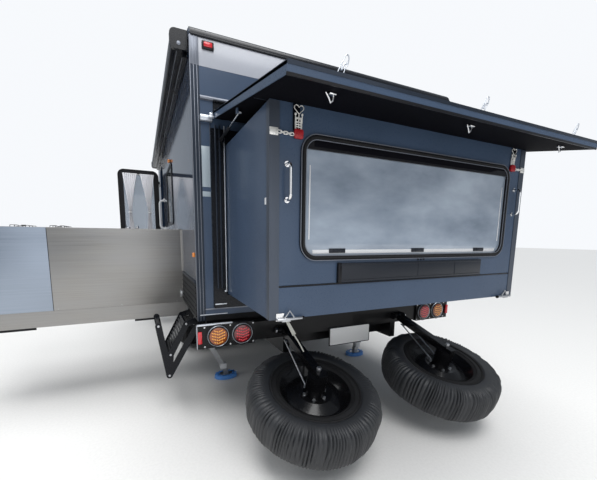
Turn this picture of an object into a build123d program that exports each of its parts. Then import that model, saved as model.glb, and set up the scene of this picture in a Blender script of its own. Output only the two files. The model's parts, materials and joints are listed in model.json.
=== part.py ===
from build123d import *
from math import cos, hypot, radians, sin, tan
import os

# Off-road hybrid camper trailer, parked with its rear box slid out, its rear lid lying on the box,
# its two spare wheels swung down, its steel kitchen slid out of the left side and its door open.
# Millimetres. X points to the tow eye, Y to the left, Z up. The model is laid out from the rear
# wall's outer face (X 0), the centreline (Y 0) and the ground (Z 0), and every piece is moved to
# the datum, the centre of the tow eye, when it is written.

# Body shell: sandwich panels
BODY_LENGTH = 4300.0
BODY_WIDTH = 2200.0
BODY_BOTTOM = 760.0
ROOF_TOP = 2580.0
PANEL = 35.0
REAR_TOP_RADIUS = 70.0
NOSE_RAKE = 430.0
NOSE_RAKE_DROP = 700.0
NOSE_TUCK = 320.0
NOSE_TUCK_RISE = 390.0
TRIM_LEG = 46.0
TRIM = 3.0
PIN_GAP = 0.3

# Ribbed cladding along the foot of the side walls
CLAD_TOP = 1010.0
CLAD = 6.0
CLAD_RIB = 4.0
CLAD_RIB_WIDTH = 8.0
CLAD_RIB_PITCH = 40.0
CLAD_START = 48.0
CLAD_CUT = 15.0

# Vent hatch on the roof
HATCH_X = 1700.0
HATCH_SIZE = 500.0
HATCH_BASE = 30.0
HATCH_DOME = 40.0
HATCH_STEP = 20.0
HATCH_RADIUS = 50.0
HATCH_CROWN = 18.0

# Side windows
WINDOW_SILL = 1480.0
SIDE_WINDOW_HEIGHT = 600.0
SIDE_WINDOW_RADIUS = 60.0
SIDE_WINDOW_LAP = 22.0
SIDE_WINDOW_PROUD = 8.0
SIDE_WINDOW_SLEEVE = 8.0
SIDE_WINDOWS = [
    {"side": 1, "x": 1520.0, "length": 660.0},
    {"side": -1, "x": 960.0, "length": 700.0},
    {"side": -1, "x": 2350.0, "length": 900.0},
]

# Rear box that slides out
BOX_SIDE = 200.0
BOX_BOTTOM = 940.0
BOX_TOP = 1904.0
BOX_OUT = 790.0
BOX_WALL = 30.0
BOX_INSET = 10.0
BOX_GAP = 8.0
BOX_CREASE_Z = 1095.0
BOX_CREASE = 7.0
BOX_CREASE_DEPTH = 5.0
BOX_ANGLE_LEG = 45.0
BOX_ANGLE_RETURN = 32.0
WINDOW_SIDE = 165.0
WINDOW_BOTTOM = 1229.0
WINDOW_TOP = 1774.0
WINDOW_RADIUS = 70.0
WINDOW_LAP = 16.0
WINDOW_SLEEVE = 9.0
WINDOW_PROUD = 9.0
WINDOW_RAIL_INSET = 60.0
WINDOW_RAIL_HEIGHT = 33.0
WINDOW_HEAD_RAIL = 42.0
GLASS = 6.0
SURROUND = 88.0
SURROUND_PROUD = 15.0

# Handles, bar and latches on the box
HANDLE_EDGE = 82.0
HANDLE_BOTTOM = 1489.0
HANDLE_LENGTH = 156.0
HANDLE_OUT = 42.0
HANDLE_R = 7.0
HANDLE_BEND = 22.0
HANDLE_FOOT_R = 13.0
HANDLE_FOOT = 5.0
BAR_EDGE = 365.0
BAR_BOTTOM = 1104.0
BAR_HEIGHT = 92.0
BAR_PROUD = 14.0
TOGGLE_EDGE = 124.0
TOGGLE_BOTTOM = 1796.0
TOGGLE_WIDTH = 26.0
TOGGLE_PLATE = 5.0
LATCH_EDGE = 50.0
LATCH_WIDTH = 40.0
LATCH_PLATE = 6.0
LATCH_UP = 30.0
LATCH_IN = 24.0

# Lid over the box
LID_OVERHANG = 75.0
LID_DEPTH = 1149.0
LID_THICKNESS = 40.0
LID_SLOPE = 11.04
LID_WALL_Z = 2059.0
LID_START = 14.0
LID_RAIL = 30.0
LID_RAIL_PROUD = 3.0
LID_HOOK_INSET = 60.0
LID_HOOK_SIZE = 24.0
LID_HOOK_DROP = 10.0
LID_HOOK_SHARES = (-0.78, 0.0, 0.78)
LID_SEAT = 0.2
HINGE_R = 8.0
HINGE_OUT = 16.0
HINGE_KNUCKLES = 7
HINGE_WEB = 6.0
HINGE_RAIL_DOWN = 12.0
HINGE_RAIL_UP = 60.0
HINGE_HOOD = 22.0
HINGE_LEAF = 26.0
KNUCKLE_GAP = 2.0

# Gas struts beside the box
STRUT_SIDE = 36.0
STRUT_PIN_OUT = 28.0
STRUT_PIN_Z = 1930.0
STRUT_EYE_ALONG = 478.0
STRUT_DROP = 16.0
STRUT_CYL_R = 9.0
STRUT_ROD_R = 4.5
STRUT_CYL_LENGTH = 225.0
STRUT_ROD_START = 135.0
STRUT_END = 40.0
STRUT_EYE_R = 9.5
STRUT_EYE_WIDTH = 12.0
STRUT_PIN_R = 4.0
STRUT_EYE_PLAY = 1.0
STRUT_CHEEK_Y = 18.0
STRUT_CHEEK = 8.0
STRUT_CHEEK_HALF = 14.0

# Running gear
AXLE_X = 1900.0
TYRE_R = 395.0
TYRE_WIDTH = 265.0
TYRE_WALL = 16.0
TREAD_EDGE = 40.0
RIM_R = 212.0
RIM_HOLE_RING = 150.0
RIM_HOLE_R = 17.0
RIM_HOLES = 10
HUB_R = 44.0
HUB_START = 20.0
HUB_END = 78.0
HUB_CLEAR = 1.5
SPINDLE_R = 20.0
SPINDLE_LENGTH = 34.0
SPINDLE_PLAY = 0.5
WHEEL_INSET = 195.0
ARCH_HALF = 470.0
ARCH_TOP = 960.0
ARCH_DEPTH = 345.0
ARCH_SHOULDER = 130.0
LINER = 10.0
ARM_PIVOT_AHEAD = 420.0
ARM_PIVOT_DROP = 40.0
ARM_END_OUT = 130.0
ARM_WIDTH = 56.0
ARM_HEIGHT = 70.0
ARM_CHEEK = 12.0
ARM_CHEEK_HALF = 45.0
ARM_PIN_R = 24.0
ARM_PIN_HALF = 60.0
AXLE_R = 32.0
DRUM_R = 128.0
DRUM_INNER = 95.0
DRUM_OUTER = 30.0
SPRING_AHEAD = 90.0
SPRING_OUT = 95.0
SPRING_R = 46.0
SPRING_COIL_R = 62.0
SPRING_WIRE = 18.0
SPRING_COILS = 6
SPRING_SEAT = 15.0
SPRING_PLATE = 16.0
SPRING_PLATE_HALF = 70.0

# Chassis and drawbar
RAIL_INSET = 600.0
RAIL_WIDTH = 50.0
RAIL_BOTTOM = 490.0
RAIL_HEIGHT = 120.0
MEMBER_DROP = 20.0
MEMBER_SIDE_GAP = 20.0
MEMBERS = [
    {"x": 20.0, "length": 60.0},
    {"x": 600.0, "length": 60.0},
    {"x": 1450.0, "length": 50.0},
    {"x": 2390.0, "length": 50.0},
    {"x": 2870.0, "length": 60.0},
    {"x": 3600.0, "length": 60.0},
]
TANKS = [
    {"x": 2460.0, "length": 390.0},
    {"x": 2950.0, "length": 630.0},
]
TANK_SIDE = 80.0
TANK_DROP = 140.0
TANK_RADIUS = 30.0
DRAWBAR = 1650.0
DRAW_LAP = 200.0
DRAW_HALF_AT_EYE = 34.0
DRAW_NOSE = 150.0
DRAW_PLATE_BACK = 260.0
DRAW_PLATE_HALF = 110.0
DRAW_PLATE = 8.0
DRAW_BLOCK = 60.0
DRAW_BLOCK_HALF = 75.0
EYE_Z = 550.0
EYE_R = 25.0
EYE_OUTER_R = 52.0
EYE_HEIGHT = 44.0
EYE_STEM_HALF = 30.0
EYE_STEM_HEIGHT = 40.0
EYE_STEM_LAP = 8.0

# Rear beam, plate bracket and lamp panels
BEAM_X = -100.0
BEAM_DEPTH = 80.0
BEAM_BOTTOM = 615.0
BEAM_HEIGHT = 130.0
BEAM_INSET = 350.0
PLATE_Y = -55.0
PLATE_WIDTH = 386.0
PLATE_HEIGHT = 148.0
PLATE_BOTTOM = 488.0
PLATE_BRACKET = 4.0
LAMP_PANEL_X = -115.0
LAMP_PANEL_DEPTH = 55.0
LAMP_PANEL_PAST = 30.0
LAMP_PANEL_BOTTOM = 605.0
LAMP_PANEL_HEIGHT = 153.0
LAMP_PANEL_PLATE = 6.0
LAMP_Z = 683.0
LAMP_R = 66.0
LAMP_PROUD = 16.0
LAMP_EDGE = 7.0
OUTER_LAMP_INSET = 102.0
INNER_LAMP_INSET = 265.0
END_MARKER_PROUD = 12.0
END_MARKER_IN = 26.0
END_MARKER_WIDTH = 23.0
END_MARKER_HALF = 38.0
HIGH_MARKER_INSET = 102.0
HIGH_MARKER_DROP = 109.0
HIGH_MARKER_WIDTH = 60.0
HIGH_MARKER_HEIGHT = 38.0
HIGH_MARKER_PROUD = 14.0
HIGH_MARKER_RADIUS = 12.0

# Spare wheel carriers
SPARE_INSET = 572.0
SPARE_PIVOT_X = -135.0
SPARE_PIVOT_Z = 676.0
SPARE_ARM = 496.0
SPARE_SLOPE = 16.0
SPARE_R = 400.0
SPARE_WIDTH = 250.0
SPARE_TREAD_EDGE = 52.0
SPARE_ARM_SIZE = 50.0
SPARE_ARM_PAST = 60.0
SPARE_ARM_START = 18.0
SPARE_TUBE_R = 24.0
SPARE_TUBE_HALF = 38.0
SPARE_PIN_R = 10.0
SPARE_PIN_PLAY = 0.5
SPARE_PIN_HALF = 56.0
SPARE_HUB_R = 60.0
SPARE_HUB_SINK = 20.0
SPARE_LUG_Y = 46.0
SPARE_LUG = 12.0
SPARE_LUG_R = 26.0
ARM_TO_TYRE = 53.0

# Slide-out kitchen
KITCHEN_X = 825.0
KITCHEN_LENGTH = 575.0
KITCHEN_INSET = 150.0
KITCHEN_REACH = 1520.0
KITCHEN_BOTTOM = 742.0
KITCHEN_TOP = 1386.0
KITCHEN_GAP = 8.0
KITCHEN_SHEET = 3.0
KITCHEN_TOP_THICKNESS = 30.0
TRAY_BOTTOM = 616.0
TRAY_INSET = 30.0
RUNNER = 12.0
RUNNER_INSET = 20.0
SINK_OUT = 250.0
SINK_LENGTH = 350.0
SINK_WIDTH = 365.0
SINK_DEPTH = 24.0
SINK_RADIUS = 40.0
HOB_OUT = 800.0
HOB_LENGTH = 520.0
HOB_WIDTH = 425.0
HOB_DEPTH = 8.0
HOB_RADIUS = 16.0
KITCHEN_BACK_MARGIN = 100.0

# Entry door, open at a right angle
DOOR_HINGE_X = 3520.0
DOOR_HINGE_OUT = 18.0
DOOR_WIDTH = 590.0
DOOR_EDGE = 12.0
DOOR_BOTTOM = 845.0
DOOR_DROP = 235.0
DOOR_THICKNESS = 30.0
DOOR_FACE_GAP = 5.0
DOOR_GAP = 6.0
DOOR_RADIUS = 90.0
DOOR_BORDER = 75.0
DOOR_WINDOW_BOTTOM = 1240.0
DOOR_PANE_RADIUS = 44.0
DOOR_KNUCKLE_R = 7.0
DOOR_KNUCKLE_HALF = 20.0
DOOR_KNUCKLE_LONG = 60.0
DOOR_LEAF = 30.0
DOOR_LEAF_THICKNESS = 4.0
DOOR_HINGE_SHARES = (0.09, 0.48, 0.86)
CURTAIN_DEPTH = 26.0
CURTAIN_TOP_DROP = 60.0
CURTAIN_RISE = 335.0
CURTAIN_TIE = 855.0
CURTAIN_INNER = 6.0
CURTAIN_OUTER = 205.0
CURTAIN_TIE_OUT = 150.0
GRAB_AHEAD = 90.0
GRAB_BOTTOM = 1440.0
GRAB_LENGTH = 400.0
GRAB_OUT = 62.0
GRAB_RISE = 20.0
GRAB_BEND = 45.0
GRAB_R = 13.0
GRAB_FOOT_R = 26.0
GRAB_FOOT = 8.0

# Awning along the left edge of the roof
AWNING_X = 90.0
AWNING_LENGTH = 3800.0
AWNING_OUT = 105.0
AWNING_HEIGHT = 115.0
AWNING_CAP = 30.0
AWNING_CAP_RADIUS = 32.0
AWNING_SINK = 6.0
AWNING_RADIUS = 30.0
AWNING_ARM = 28.0
AWNING_ARM_INSET = 40.0

# Rear stabilisers
STAB_X = 745.0
STAB_INSET = 60.0
STAB_PIVOT_Z = 600.0
STAB_SPLAY = 290.0
STAB_FOOT_CLEAR = 1.0
STAB_LEG = 44.0
STAB_ANKLE_Z = 60.0
STAB_ANKLE_DROP = 14.0
STAB_ANKLE_R = 20.0
STAB_ANKLE_HALF = 24.0
STAB_EYE_R = 26.0
STAB_PIN_R = 10.0
STAB_PIN_PLAY = 0.5
STAB_FOOT_LENGTH = 150.0
STAB_FOOT_WIDTH = 210.0
STAB_FOOT_HEIGHT = 16.0
STAB_BOSS_LENGTH = 80.0
STAB_BOSS_WIDTH = 124.0
STAB_BOSS_HEIGHT = 20.0
STAB_LUG = 6.0
STAB_LUG_X = 34.0
STAB_LUG_HALF = 30.0
STAB_LUG_DROP = 20.0
STAB_BASE_HALF = 50.0
STAB_BASE = 6.0

# Folding steps, half folded, as double treads
STEPS = {
    "step_rear": {"x": 240.0, "width": 320.0},
    "step_entry": {"x": 2973.0, "width": 480.0},
}
STEP_INSET = 50.0
STEP_PIVOT_Z = 715.0
STEP_PIN_R = 9.0
STEP_PIN_PAST = 8.0
STEP_PLATE = 6.0
STEP_KNEE_OUT = 184.0
STEP_KNEE_Z = 312.0
STEP_TIP_OUT = 244.0
STEP_TIP_Z = 690.0
STEP_ARM_HALF = 22.0
STEP_TREAD = 16.0
STEP_TREAD_GAP = 26.0
STEP_CHEEK = 12.0
STEP_CHEEK_GAP = 6.0
STEP_CHEEK_HALF = 24.0
STEP_CHEEK_DROP = 22.0

# Jockey wheel
JOCKEY_BACK = 520.0
JOCKEY_TUBE_R = 32.0
JOCKEY_LEG_R = 24.0
JOCKEY_LEG_PLAY = 1.0
JOCKEY_TUBE_BOTTOM = 400.0
JOCKEY_TUBE_TOP = 900.0
JOCKEY_TUBE_CAP = 12.0
JOCKEY_LEG_BOTTOM = 250.0
JOCKEY_LEG_TOP = 640.0
JOCKEY_WHEEL_R = 105.0
JOCKEY_WHEEL_WIDTH = 70.0
JOCKEY_FORK_INNER = 44.0
JOCKEY_FORK = 8.0
JOCKEY_FORK_TOP = 254.0
JOCKEY_FORK_THICKNESS = 18.0
JOCKEY_FORK_HALF = 28.0
JOCKEY_AXLE_R = 9.0
JOCKEY_AXLE_HALF = 56.0
JOCKEY_CLAMP = 45.0
JOCKEY_CLAMP_BACK = 120.0

# Front box on the drawbar
FRONT_BOX_GAP = 100.0
FRONT_BOX_LENGTH = 560.0
FRONT_BOX_SIDE = 540.0
FRONT_BOX_TOP = 1120.0
FRONT_BOX_WALL = 4.0
FRONT_BOX_RADIUS = 20.0
FRONT_LID_LAP = 8.0
FRONT_LID_SKIRT = 18.0
FRONT_LID_RISE = 5.0
FRONT_HINGE_OUT = 13.0
FRONT_HINGE_IN = 180.0
FRONT_HINGE_R = 5.0
FRONT_KNUCKLE = 40.0
FRONT_LEAF_DROP = 22.0
FRONT_LEAF_RISE = 9.0

HALF = BODY_WIDTH / 2
INNER = HALF - PANEL
BOX_WIDTH = BODY_WIDTH - 2 * BOX_SIDE
WINDOW_WIDTH = BOX_WIDTH - 2 * WINDOW_SIDE
HANDLE_Y = BOX_WIDTH / 2 - HANDLE_EDGE
BAR_HALF = BOX_WIDTH / 2 - BAR_EDGE
TOGGLE_Y = BOX_WIDTH / 2 - TOGGLE_EDGE
LATCH_Y = BOX_WIDTH / 2 - LATCH_EDGE
STRUT_Y = BOX_WIDTH / 2 + STRUT_SIDE
LID_WIDTH = BOX_WIDTH + 2 * LID_OVERHANG
WHEEL_Y = HALF - WHEEL_INSET
RAIL_Y = HALF - RAIL_INSET
TANK_HALF = RAIL_Y - TANK_SIDE
BEAM_HALF = HALF - BEAM_INSET
LAMP_PANEL_OUTER = HALF + LAMP_PANEL_PAST
LAMP_ROWS = [HALF - OUTER_LAMP_INSET, HALF - INNER_LAMP_INSET]
HIGH_MARKER_Y = HALF - HIGH_MARKER_INSET
SPARE_Y = HALF - SPARE_INSET
KITCHEN_IN = HALF - KITCHEN_INSET
KITCHEN_OUT = HALF + KITCHEN_REACH
SINK_Y = HALF + SINK_OUT
HOB_Y = HALF + HOB_OUT
STAB_PIVOT_Y = HALF - STAB_INSET
STAB_FOOT_Y = STAB_PIVOT_Y - STAB_SPLAY
STEP_PIVOT_Y = HALF - STEP_INSET
STEP_KNEE_Y = HALF + STEP_KNEE_OUT
STEP_TIP_Y = HALF + STEP_TIP_OUT
FRONT_BOX_HALF = HALF - FRONT_BOX_SIDE
FRONT_HINGE_Y = FRONT_BOX_HALF - FRONT_HINGE_IN
NOSE_RAKE_Z = ROOF_TOP - NOSE_RAKE_DROP
NOSE_TUCK_Z = BODY_BOTTOM + NOSE_TUCK_RISE
RAIL_TOP = RAIL_BOTTOM + RAIL_HEIGHT
EYE_X = BODY_LENGTH + DRAWBAR
JOCKEY_X = EYE_X - JOCKEY_BACK
DOOR_TOP = ROOF_TOP - DOOR_DROP
HINGE_X = -HINGE_OUT
SLOPE = radians(LID_SLOPE)
FRONT_BOX_X = BODY_LENGTH + FRONT_BOX_GAP
FRONT_HINGE_X = FRONT_BOX_X - FRONT_HINGE_OUT
FRONT_HINGE_Z = FRONT_BOX_TOP - FRONT_LID_SKIRT
SPARE_ANGLE = radians(SPARE_SLOPE)
SPARE_DIR = (-cos(SPARE_ANGLE), 0, -sin(SPARE_ANGLE))
SPARE_UP = (-sin(SPARE_ANGLE), 0, cos(SPARE_ANGLE))


def block(x0, x1, y0, y1, z0, z1):
    """A plain block between two corners."""
    return Pos((x0 + x1) / 2, (y0 + y1) / 2, (z0 + z1) / 2) * Box(x1 - x0, y1 - y0, z1 - z0)


def mirrored(shape):
    """The same shape on the right side."""
    return mirror(shape, about=Plane.XZ)


def both(shape):
    """The shape and its mirror image, as separate solids."""
    return [shape, mirrored(shape)]


def solids_of(*shapes):
    """One compound of all the solids, left apart."""
    found = []
    for shape in shapes:
        items = shape if isinstance(shape, (list, tuple)) else [shape]
        for item in items:
            found += list(item.solids())
    return Compound(children=found)


def outline_xz(points, y0, y1):
    """An outline in the X-Z plane, extruded from y0 to y1."""
    face = make_face(Polyline(*[(x, 0, z) for x, z in points], close=True))
    return Pos(0, y0, 0) * extrude(face, amount=y1 - y0, dir=(0, 1, 0))


def outline_yz(points, x0, x1):
    """An outline in the Y-Z plane, extruded from x0 to x1."""
    face = make_face(Polyline(*[(0, y, z) for y, z in points], close=True))
    return Pos(x0, 0, 0) * extrude(face, amount=x1 - x0, dir=(1, 0, 0))


def strip_yz(start, end, half, x0, x1):
    """A straight strip between two (y, z) points, extruded from x0 to x1."""
    length = hypot(end[0] - start[0], end[1] - start[1])
    across_y = -(end[1] - start[1]) / length * half
    across_z = (end[0] - start[0]) / length * half
    return outline_yz([
        (start[0] + across_y, start[1] + across_z), (end[0] + across_y, end[1] + across_z),
        (end[0] - across_y, end[1] - across_z), (start[0] - across_y, start[1] - across_z),
    ], x0, x1)


def rounded_x(x0, x1, y0, y1, z0, z1, radius):
    """A plate facing X with rounded corners."""
    plane = Plane(origin=(x0, (y0 + y1) / 2, (z0 + z1) / 2), x_dir=(0, 1, 0), z_dir=(1, 0, 0))
    return extrude(plane * RectangleRounded(y1 - y0, z1 - z0, radius), amount=x1 - x0)


def rounded_y(x0, x1, y0, y1, z0, z1, radius):
    """A plate facing Y with rounded corners."""
    plane = Plane(origin=((x0 + x1) / 2, y0, (z0 + z1) / 2), x_dir=(-1, 0, 0), z_dir=(0, 1, 0))
    return extrude(plane * RectangleRounded(x1 - x0, z1 - z0, radius), amount=y1 - y0)


def rounded_z(x0, x1, y0, y1, z0, z1, radius):
    """A plate facing Z with rounded corners."""
    plane = Plane(origin=((x0 + x1) / 2, (y0 + y1) / 2, z0))
    return extrude(plane * RectangleRounded(x1 - x0, y1 - y0, radius), amount=z1 - z0)


def rod(start, end, radius):
    """A round bar between two points."""
    a, b = Vector(*start), Vector(*end)
    return extrude(Plane(origin=a, z_dir=b - a) * Circle(radius), amount=(b - a).length)


def bar(start, end, width, height):
    """A straight bar of rectangular section; the width is level."""
    a, b = Vector(*start), Vector(*end)
    along = b - a
    level = Vector(0, 0, 1).cross(along)
    plane = Plane(origin=a, x_dir=level, z_dir=along)
    return extrude(plane * Rectangle(width, height), amount=along.length)


def turned(profile, origin, axis, x_dir):
    """A half section of (radius, height) points turned about an axis."""
    plane = Plane(origin=origin, x_dir=x_dir, z_dir=Vector(*axis).cross(Vector(*x_dir)) * -1)
    face = plane * make_face(Polyline(*profile, close=True))
    return revolve(face, axis=Axis(origin, axis))


# Body shell

def side_slab(y0, y1, inset=0.0):
    """The body's side view, between two Y places, with its rear top corner rounded."""
    outline = [
        (0, BODY_BOTTOM), (0, ROOF_TOP), (BODY_LENGTH - NOSE_RAKE, ROOF_TOP), (BODY_LENGTH, NOSE_RAKE_Z),
        (BODY_LENGTH, NOSE_TUCK_Z), (BODY_LENGTH - NOSE_TUCK, BODY_BOTTOM),
    ]
    face = make_face(Polyline(*[(x, 0, z) for x, z in outline], close=True))
    if inset:
        face = offset(face, amount=-inset, kind=Kind.INTERSECTION).face()
    slab = Pos(0, y0, 0) * extrude(face, amount=y1 - y0, dir=(0, 1, 0))
    corner = slab.edges().filter_by(Axis.Y).sort_by(Axis.Z)[-2:].sort_by(Axis.X)[0]
    return fillet(corner, radius=REAR_TOP_RADIUS - inset)


def body_ring():
    """Rear wall, roof, nose and floor as one closed ring between the side walls."""
    return side_slab(-INNER, INNER) - side_slab(-INNER - 1, INNER + 1, PANEL)


def arch_points(inset, bottom):
    """The wheel arch's outline, with sloped shoulders."""
    half = ARCH_HALF - inset
    shoulder = ARCH_SHOULDER + inset * 0.4 - inset
    top = ARCH_TOP - inset
    low = top - shoulder
    return [
        (AXLE_X - half, bottom), (AXLE_X - half, low), (AXLE_X - half + shoulder, top),
        (AXLE_X + half - shoulder, top), (AXLE_X + half, low), (AXLE_X + half, bottom),
    ]


def arch_cut(y0, y1):
    return outline_xz(arch_points(0.0, BODY_BOTTOM - 1), y0, y1)


def door_slot():
    """The doorway through the left wall."""
    return rounded_y(
        DOOR_HINGE_X - DOOR_WIDTH - 2 * DOOR_GAP, DOOR_HINGE_X - DOOR_GAP / 2, INNER - 1, HALF + 1,
        DOOR_BOTTOM - DOOR_GAP, DOOR_TOP + DOOR_GAP, DOOR_RADIUS + DOOR_GAP)


def kitchen_slot(y0, y1):
    """The kitchen's way through the left wall and the floor."""
    return block(KITCHEN_X - KITCHEN_GAP, KITCHEN_X + KITCHEN_LENGTH + KITCHEN_GAP, y0, y1,
                 BODY_BOTTOM - 1, KITCHEN_TOP + KITCHEN_GAP)


def window_cut(window):
    """One side window's hole through the left wall."""
    return rounded_y(window["x"], window["x"] + window["length"], INNER - 1, HALF + 1,
                     WINDOW_SILL, WINDOW_SILL + SIDE_WINDOW_HEIGHT, SIDE_WINDOW_RADIUS)


def wall_left():
    wall = side_slab(INNER, HALF) - arch_cut(INNER - 1, HALF + 1) - door_slot()
    wall -= kitchen_slot(INNER - 1, HALF + 1)
    for window in SIDE_WINDOWS:
        if window["side"] > 0:
            wall -= window_cut(window)
    return wall


def wall_right():
    wall = side_slab(-HALF, -INNER) - arch_cut(-HALF - 1, -INNER + 1)
    for window in SIDE_WINDOWS:
        if window["side"] < 0:
            wall -= mirrored(window_cut(window))
    return wall


def box_slot(x0, x1):
    """The rear box's way through the rear wall."""
    half = BOX_WIDTH / 2 + BOX_GAP
    return block(x0, x1, -half, half, BOX_BOTTOM - BOX_GAP, BOX_TOP + BOX_GAP)


def wall_rear(ring):
    zone = block(-1, PANEL, -HALF, HALF, BODY_BOTTOM + PANEL, ROOF_TOP - REAR_TOP_RADIUS)
    return (ring & zone) - box_slot(-2, PANEL + 1)


def roof_panel(ring):
    end = BODY_LENGTH - NOSE_RAKE
    return ring & block(-1, end, -HALF, HALF, ROOF_TOP - REAR_TOP_RADIUS, ROOF_TOP + 1)


def floor_panel(ring):
    end = BODY_LENGTH - NOSE_TUCK
    floor = ring & block(-1, end, -HALF, HALF, BODY_BOTTOM - 1, BODY_BOTTOM + PANEL)
    for side in (-1, 1):
        inner, outer = sorted((side * (HALF - ARCH_DEPTH), side * (HALF + 1)))
        floor -= arch_cut(inner, outer)
    far_end = KITCHEN_IN - (KITCHEN_OUT - HALF) - KITCHEN_GAP
    return floor - kitchen_slot(far_end, HALF + 1)


def wall_front(ring):
    low = ring & block(BODY_LENGTH - NOSE_TUCK, BODY_LENGTH + 1, -HALF, HALF,
                       BODY_BOTTOM - 1, NOSE_RAKE_Z)
    high = ring & block(BODY_LENGTH - NOSE_RAKE, BODY_LENGTH + 1, -HALF, HALF,
                        NOSE_RAKE_Z, ROOF_TOP + 1)
    return low + high


def corner_trims():
    """Aluminium angles over the two rear corners and along the roof's sides."""
    low, high = BODY_BOTTOM, ROOF_TOP - REAR_TOP_RADIUS
    rear = block(-TRIM, TRIM_LEG, HALF, HALF + TRIM, low, high)
    rear += block(-TRIM, 0, HALF - TRIM_LEG, HALF + TRIM, low, high)
    start, end = REAR_TOP_RADIUS, BODY_LENGTH - NOSE_RAKE
    roof = block(start, end, HALF - TRIM_LEG, HALF + TRIM, ROOF_TOP, ROOF_TOP + TRIM)
    roof += block(start, end, HALF, HALF + TRIM, ROOF_TOP - TRIM_LEG, ROOF_TOP + TRIM)
    return solids_of(mirrored(rear), rear, mirrored(roof), roof)


def cladding_side(with_kitchen):
    """Ribbed black sheet over the foot of one side wall, cut round arch and kitchen."""
    start, end = CLAD_START, BODY_LENGTH - NOSE_TUCK - HATCH_STEP
    sheet = block(start, end, HALF, HALF + CLAD, BODY_BOTTOM, CLAD_TOP)
    count = int((CLAD_TOP - BODY_BOTTOM) / CLAD_RIB_PITCH)
    for i in range(count):
        z = BODY_BOTTOM + (i + 0.5) * CLAD_RIB_PITCH
        sheet += block(start, end, HALF, HALF + CLAD + CLAD_RIB, z, z + CLAD_RIB_WIDTH)
    cut_y = HALF + CLAD + CLAD_RIB + 1
    sheet -= arch_cut(HALF - 1, cut_y)
    if with_kitchen:
        sheet -= kitchen_slot(HALF - 1, cut_y)
        first = DOOR_HINGE_X - DOOR_WIDTH - 2 * DOOR_GAP - CLAD_CUT
        last = DOOR_HINGE_X + DOOR_LEAF + DOOR_FACE_GAP
        sheet -= block(first, last, HALF - 1, cut_y, DOOR_BOTTOM - CLAD_CUT - DOOR_FACE_GAP, CLAD_TOP + 1)
    return sheet


def side_cladding():
    return solids_of(cladding_side(True), mirrored(cladding_side(False)))


def wheel_arches():
    """Folded liners over the wheels."""
    inner = HALF - ARCH_DEPTH
    room = outline_xz(arch_points(LINER, BODY_BOTTOM - 2), inner + LINER, INNER + 1)
    liner = (arch_cut(inner, INNER) - room) & block(0, BODY_LENGTH, 0, HALF, BODY_BOTTOM, ARCH_TOP + 1)
    return solids_of(both(liner))


def window_outline(window, inset, y0, y1):
    """A plate as large as a side window less an inset."""
    low, high = WINDOW_SILL + inset, WINDOW_SILL + SIDE_WINDOW_HEIGHT - inset
    return rounded_y(window["x"] + inset, window["x"] + window["length"] - inset, y0, y1,
                     low, high, SIDE_WINDOW_RADIUS - inset)


def side_window_frame(window):
    """One side window's frame: a flange outside and a sleeve through the wall."""
    face = HALF + SIDE_WINDOW_PROUD
    ring = window_outline(window, -SIDE_WINDOW_LAP, HALF, face)
    ring += window_outline(window, 1.0, INNER, face)
    return ring - window_outline(window, SIDE_WINDOW_SLEEVE, INNER - 1, face + 1)


def side_window_pane(window):
    """One side window's pane, inside its sleeve."""
    return window_outline(window, SIDE_WINDOW_SLEEVE + PIN_GAP, HALF - GLASS, HALF)


def all_side_windows(make):
    pieces = []
    for window in SIDE_WINDOWS:
        piece = make(window)
        pieces.append(piece if window["side"] > 0 else mirrored(piece))
    return solids_of(pieces)


def roof_hatch():
    """A domed vent hatch on the roof."""
    x0, x1, half = HATCH_X, HATCH_X + HATCH_SIZE, HATCH_SIZE / 2
    shoulder = ROOF_TOP + HATCH_BASE
    base = rounded_z(x0, x1, -half, half, ROOF_TOP, shoulder, HATCH_RADIUS)
    dome = rounded_z(x0 + HATCH_STEP, x1 - HATCH_STEP, -half + HATCH_STEP, half - HATCH_STEP,
                     shoulder, shoulder + HATCH_DOME, HATCH_RADIUS - HATCH_STEP / 4)
    return base + fillet(dome.faces().sort_by(Axis.Z)[-1].edges(), radius=HATCH_CROWN)


def awning():
    """The awning's cassette with a cap at each end and a folded arm under it."""
    y0, y1 = HALF + TRIM, HALF + TRIM + AWNING_OUT
    z0, z1 = ROOF_TOP - AWNING_HEIGHT, ROOF_TOP
    start, end = AWNING_X, AWNING_X + AWNING_LENGTH
    sink = AWNING_SINK
    body = block(start + AWNING_CAP, end - AWNING_CAP, y0, y1 - sink, z0 + sink, z1 - sink)
    body = fillet(body.edges().filter_by(Axis.X).sort_by(Axis.Y)[-2:], radius=AWNING_RADIUS)
    for x0 in (start, end - AWNING_CAP):
        cap = block(x0, x0 + AWNING_CAP, y0, y1, z0, z1)
        body += fillet(cap.edges().filter_by(Axis.X).sort_by(Axis.Y)[-2:], radius=AWNING_CAP_RADIUS)
    body += block(start + AWNING_ARM_INSET, end - AWNING_ARM_INSET, y0, y0 + AWNING_ARM,
                  z0 - AWNING_ARM, z0 + sink)
    return body


# Rear wall fittings and lid

def strut_cheek(side):
    """Lug and pin on the surround for one strut's lower eye."""
    y = side * (STRUT_Y - STRUT_CHEEK_Y)
    x0 = -SURROUND_PROUD
    lug = block(-STRUT_PIN_OUT - STRUT_PIN_R * 2, x0, y - STRUT_CHEEK / 2, y + STRUT_CHEEK / 2,
                STRUT_PIN_Z - STRUT_CHEEK_HALF, STRUT_PIN_Z + STRUT_CHEEK_HALF)
    end = side * (STRUT_Y + STRUT_CHEEK_Y / 2)
    return lug + rod((-STRUT_PIN_OUT, y, STRUT_PIN_Z), (-STRUT_PIN_OUT, end, STRUT_PIN_Z), STRUT_PIN_R)


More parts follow.
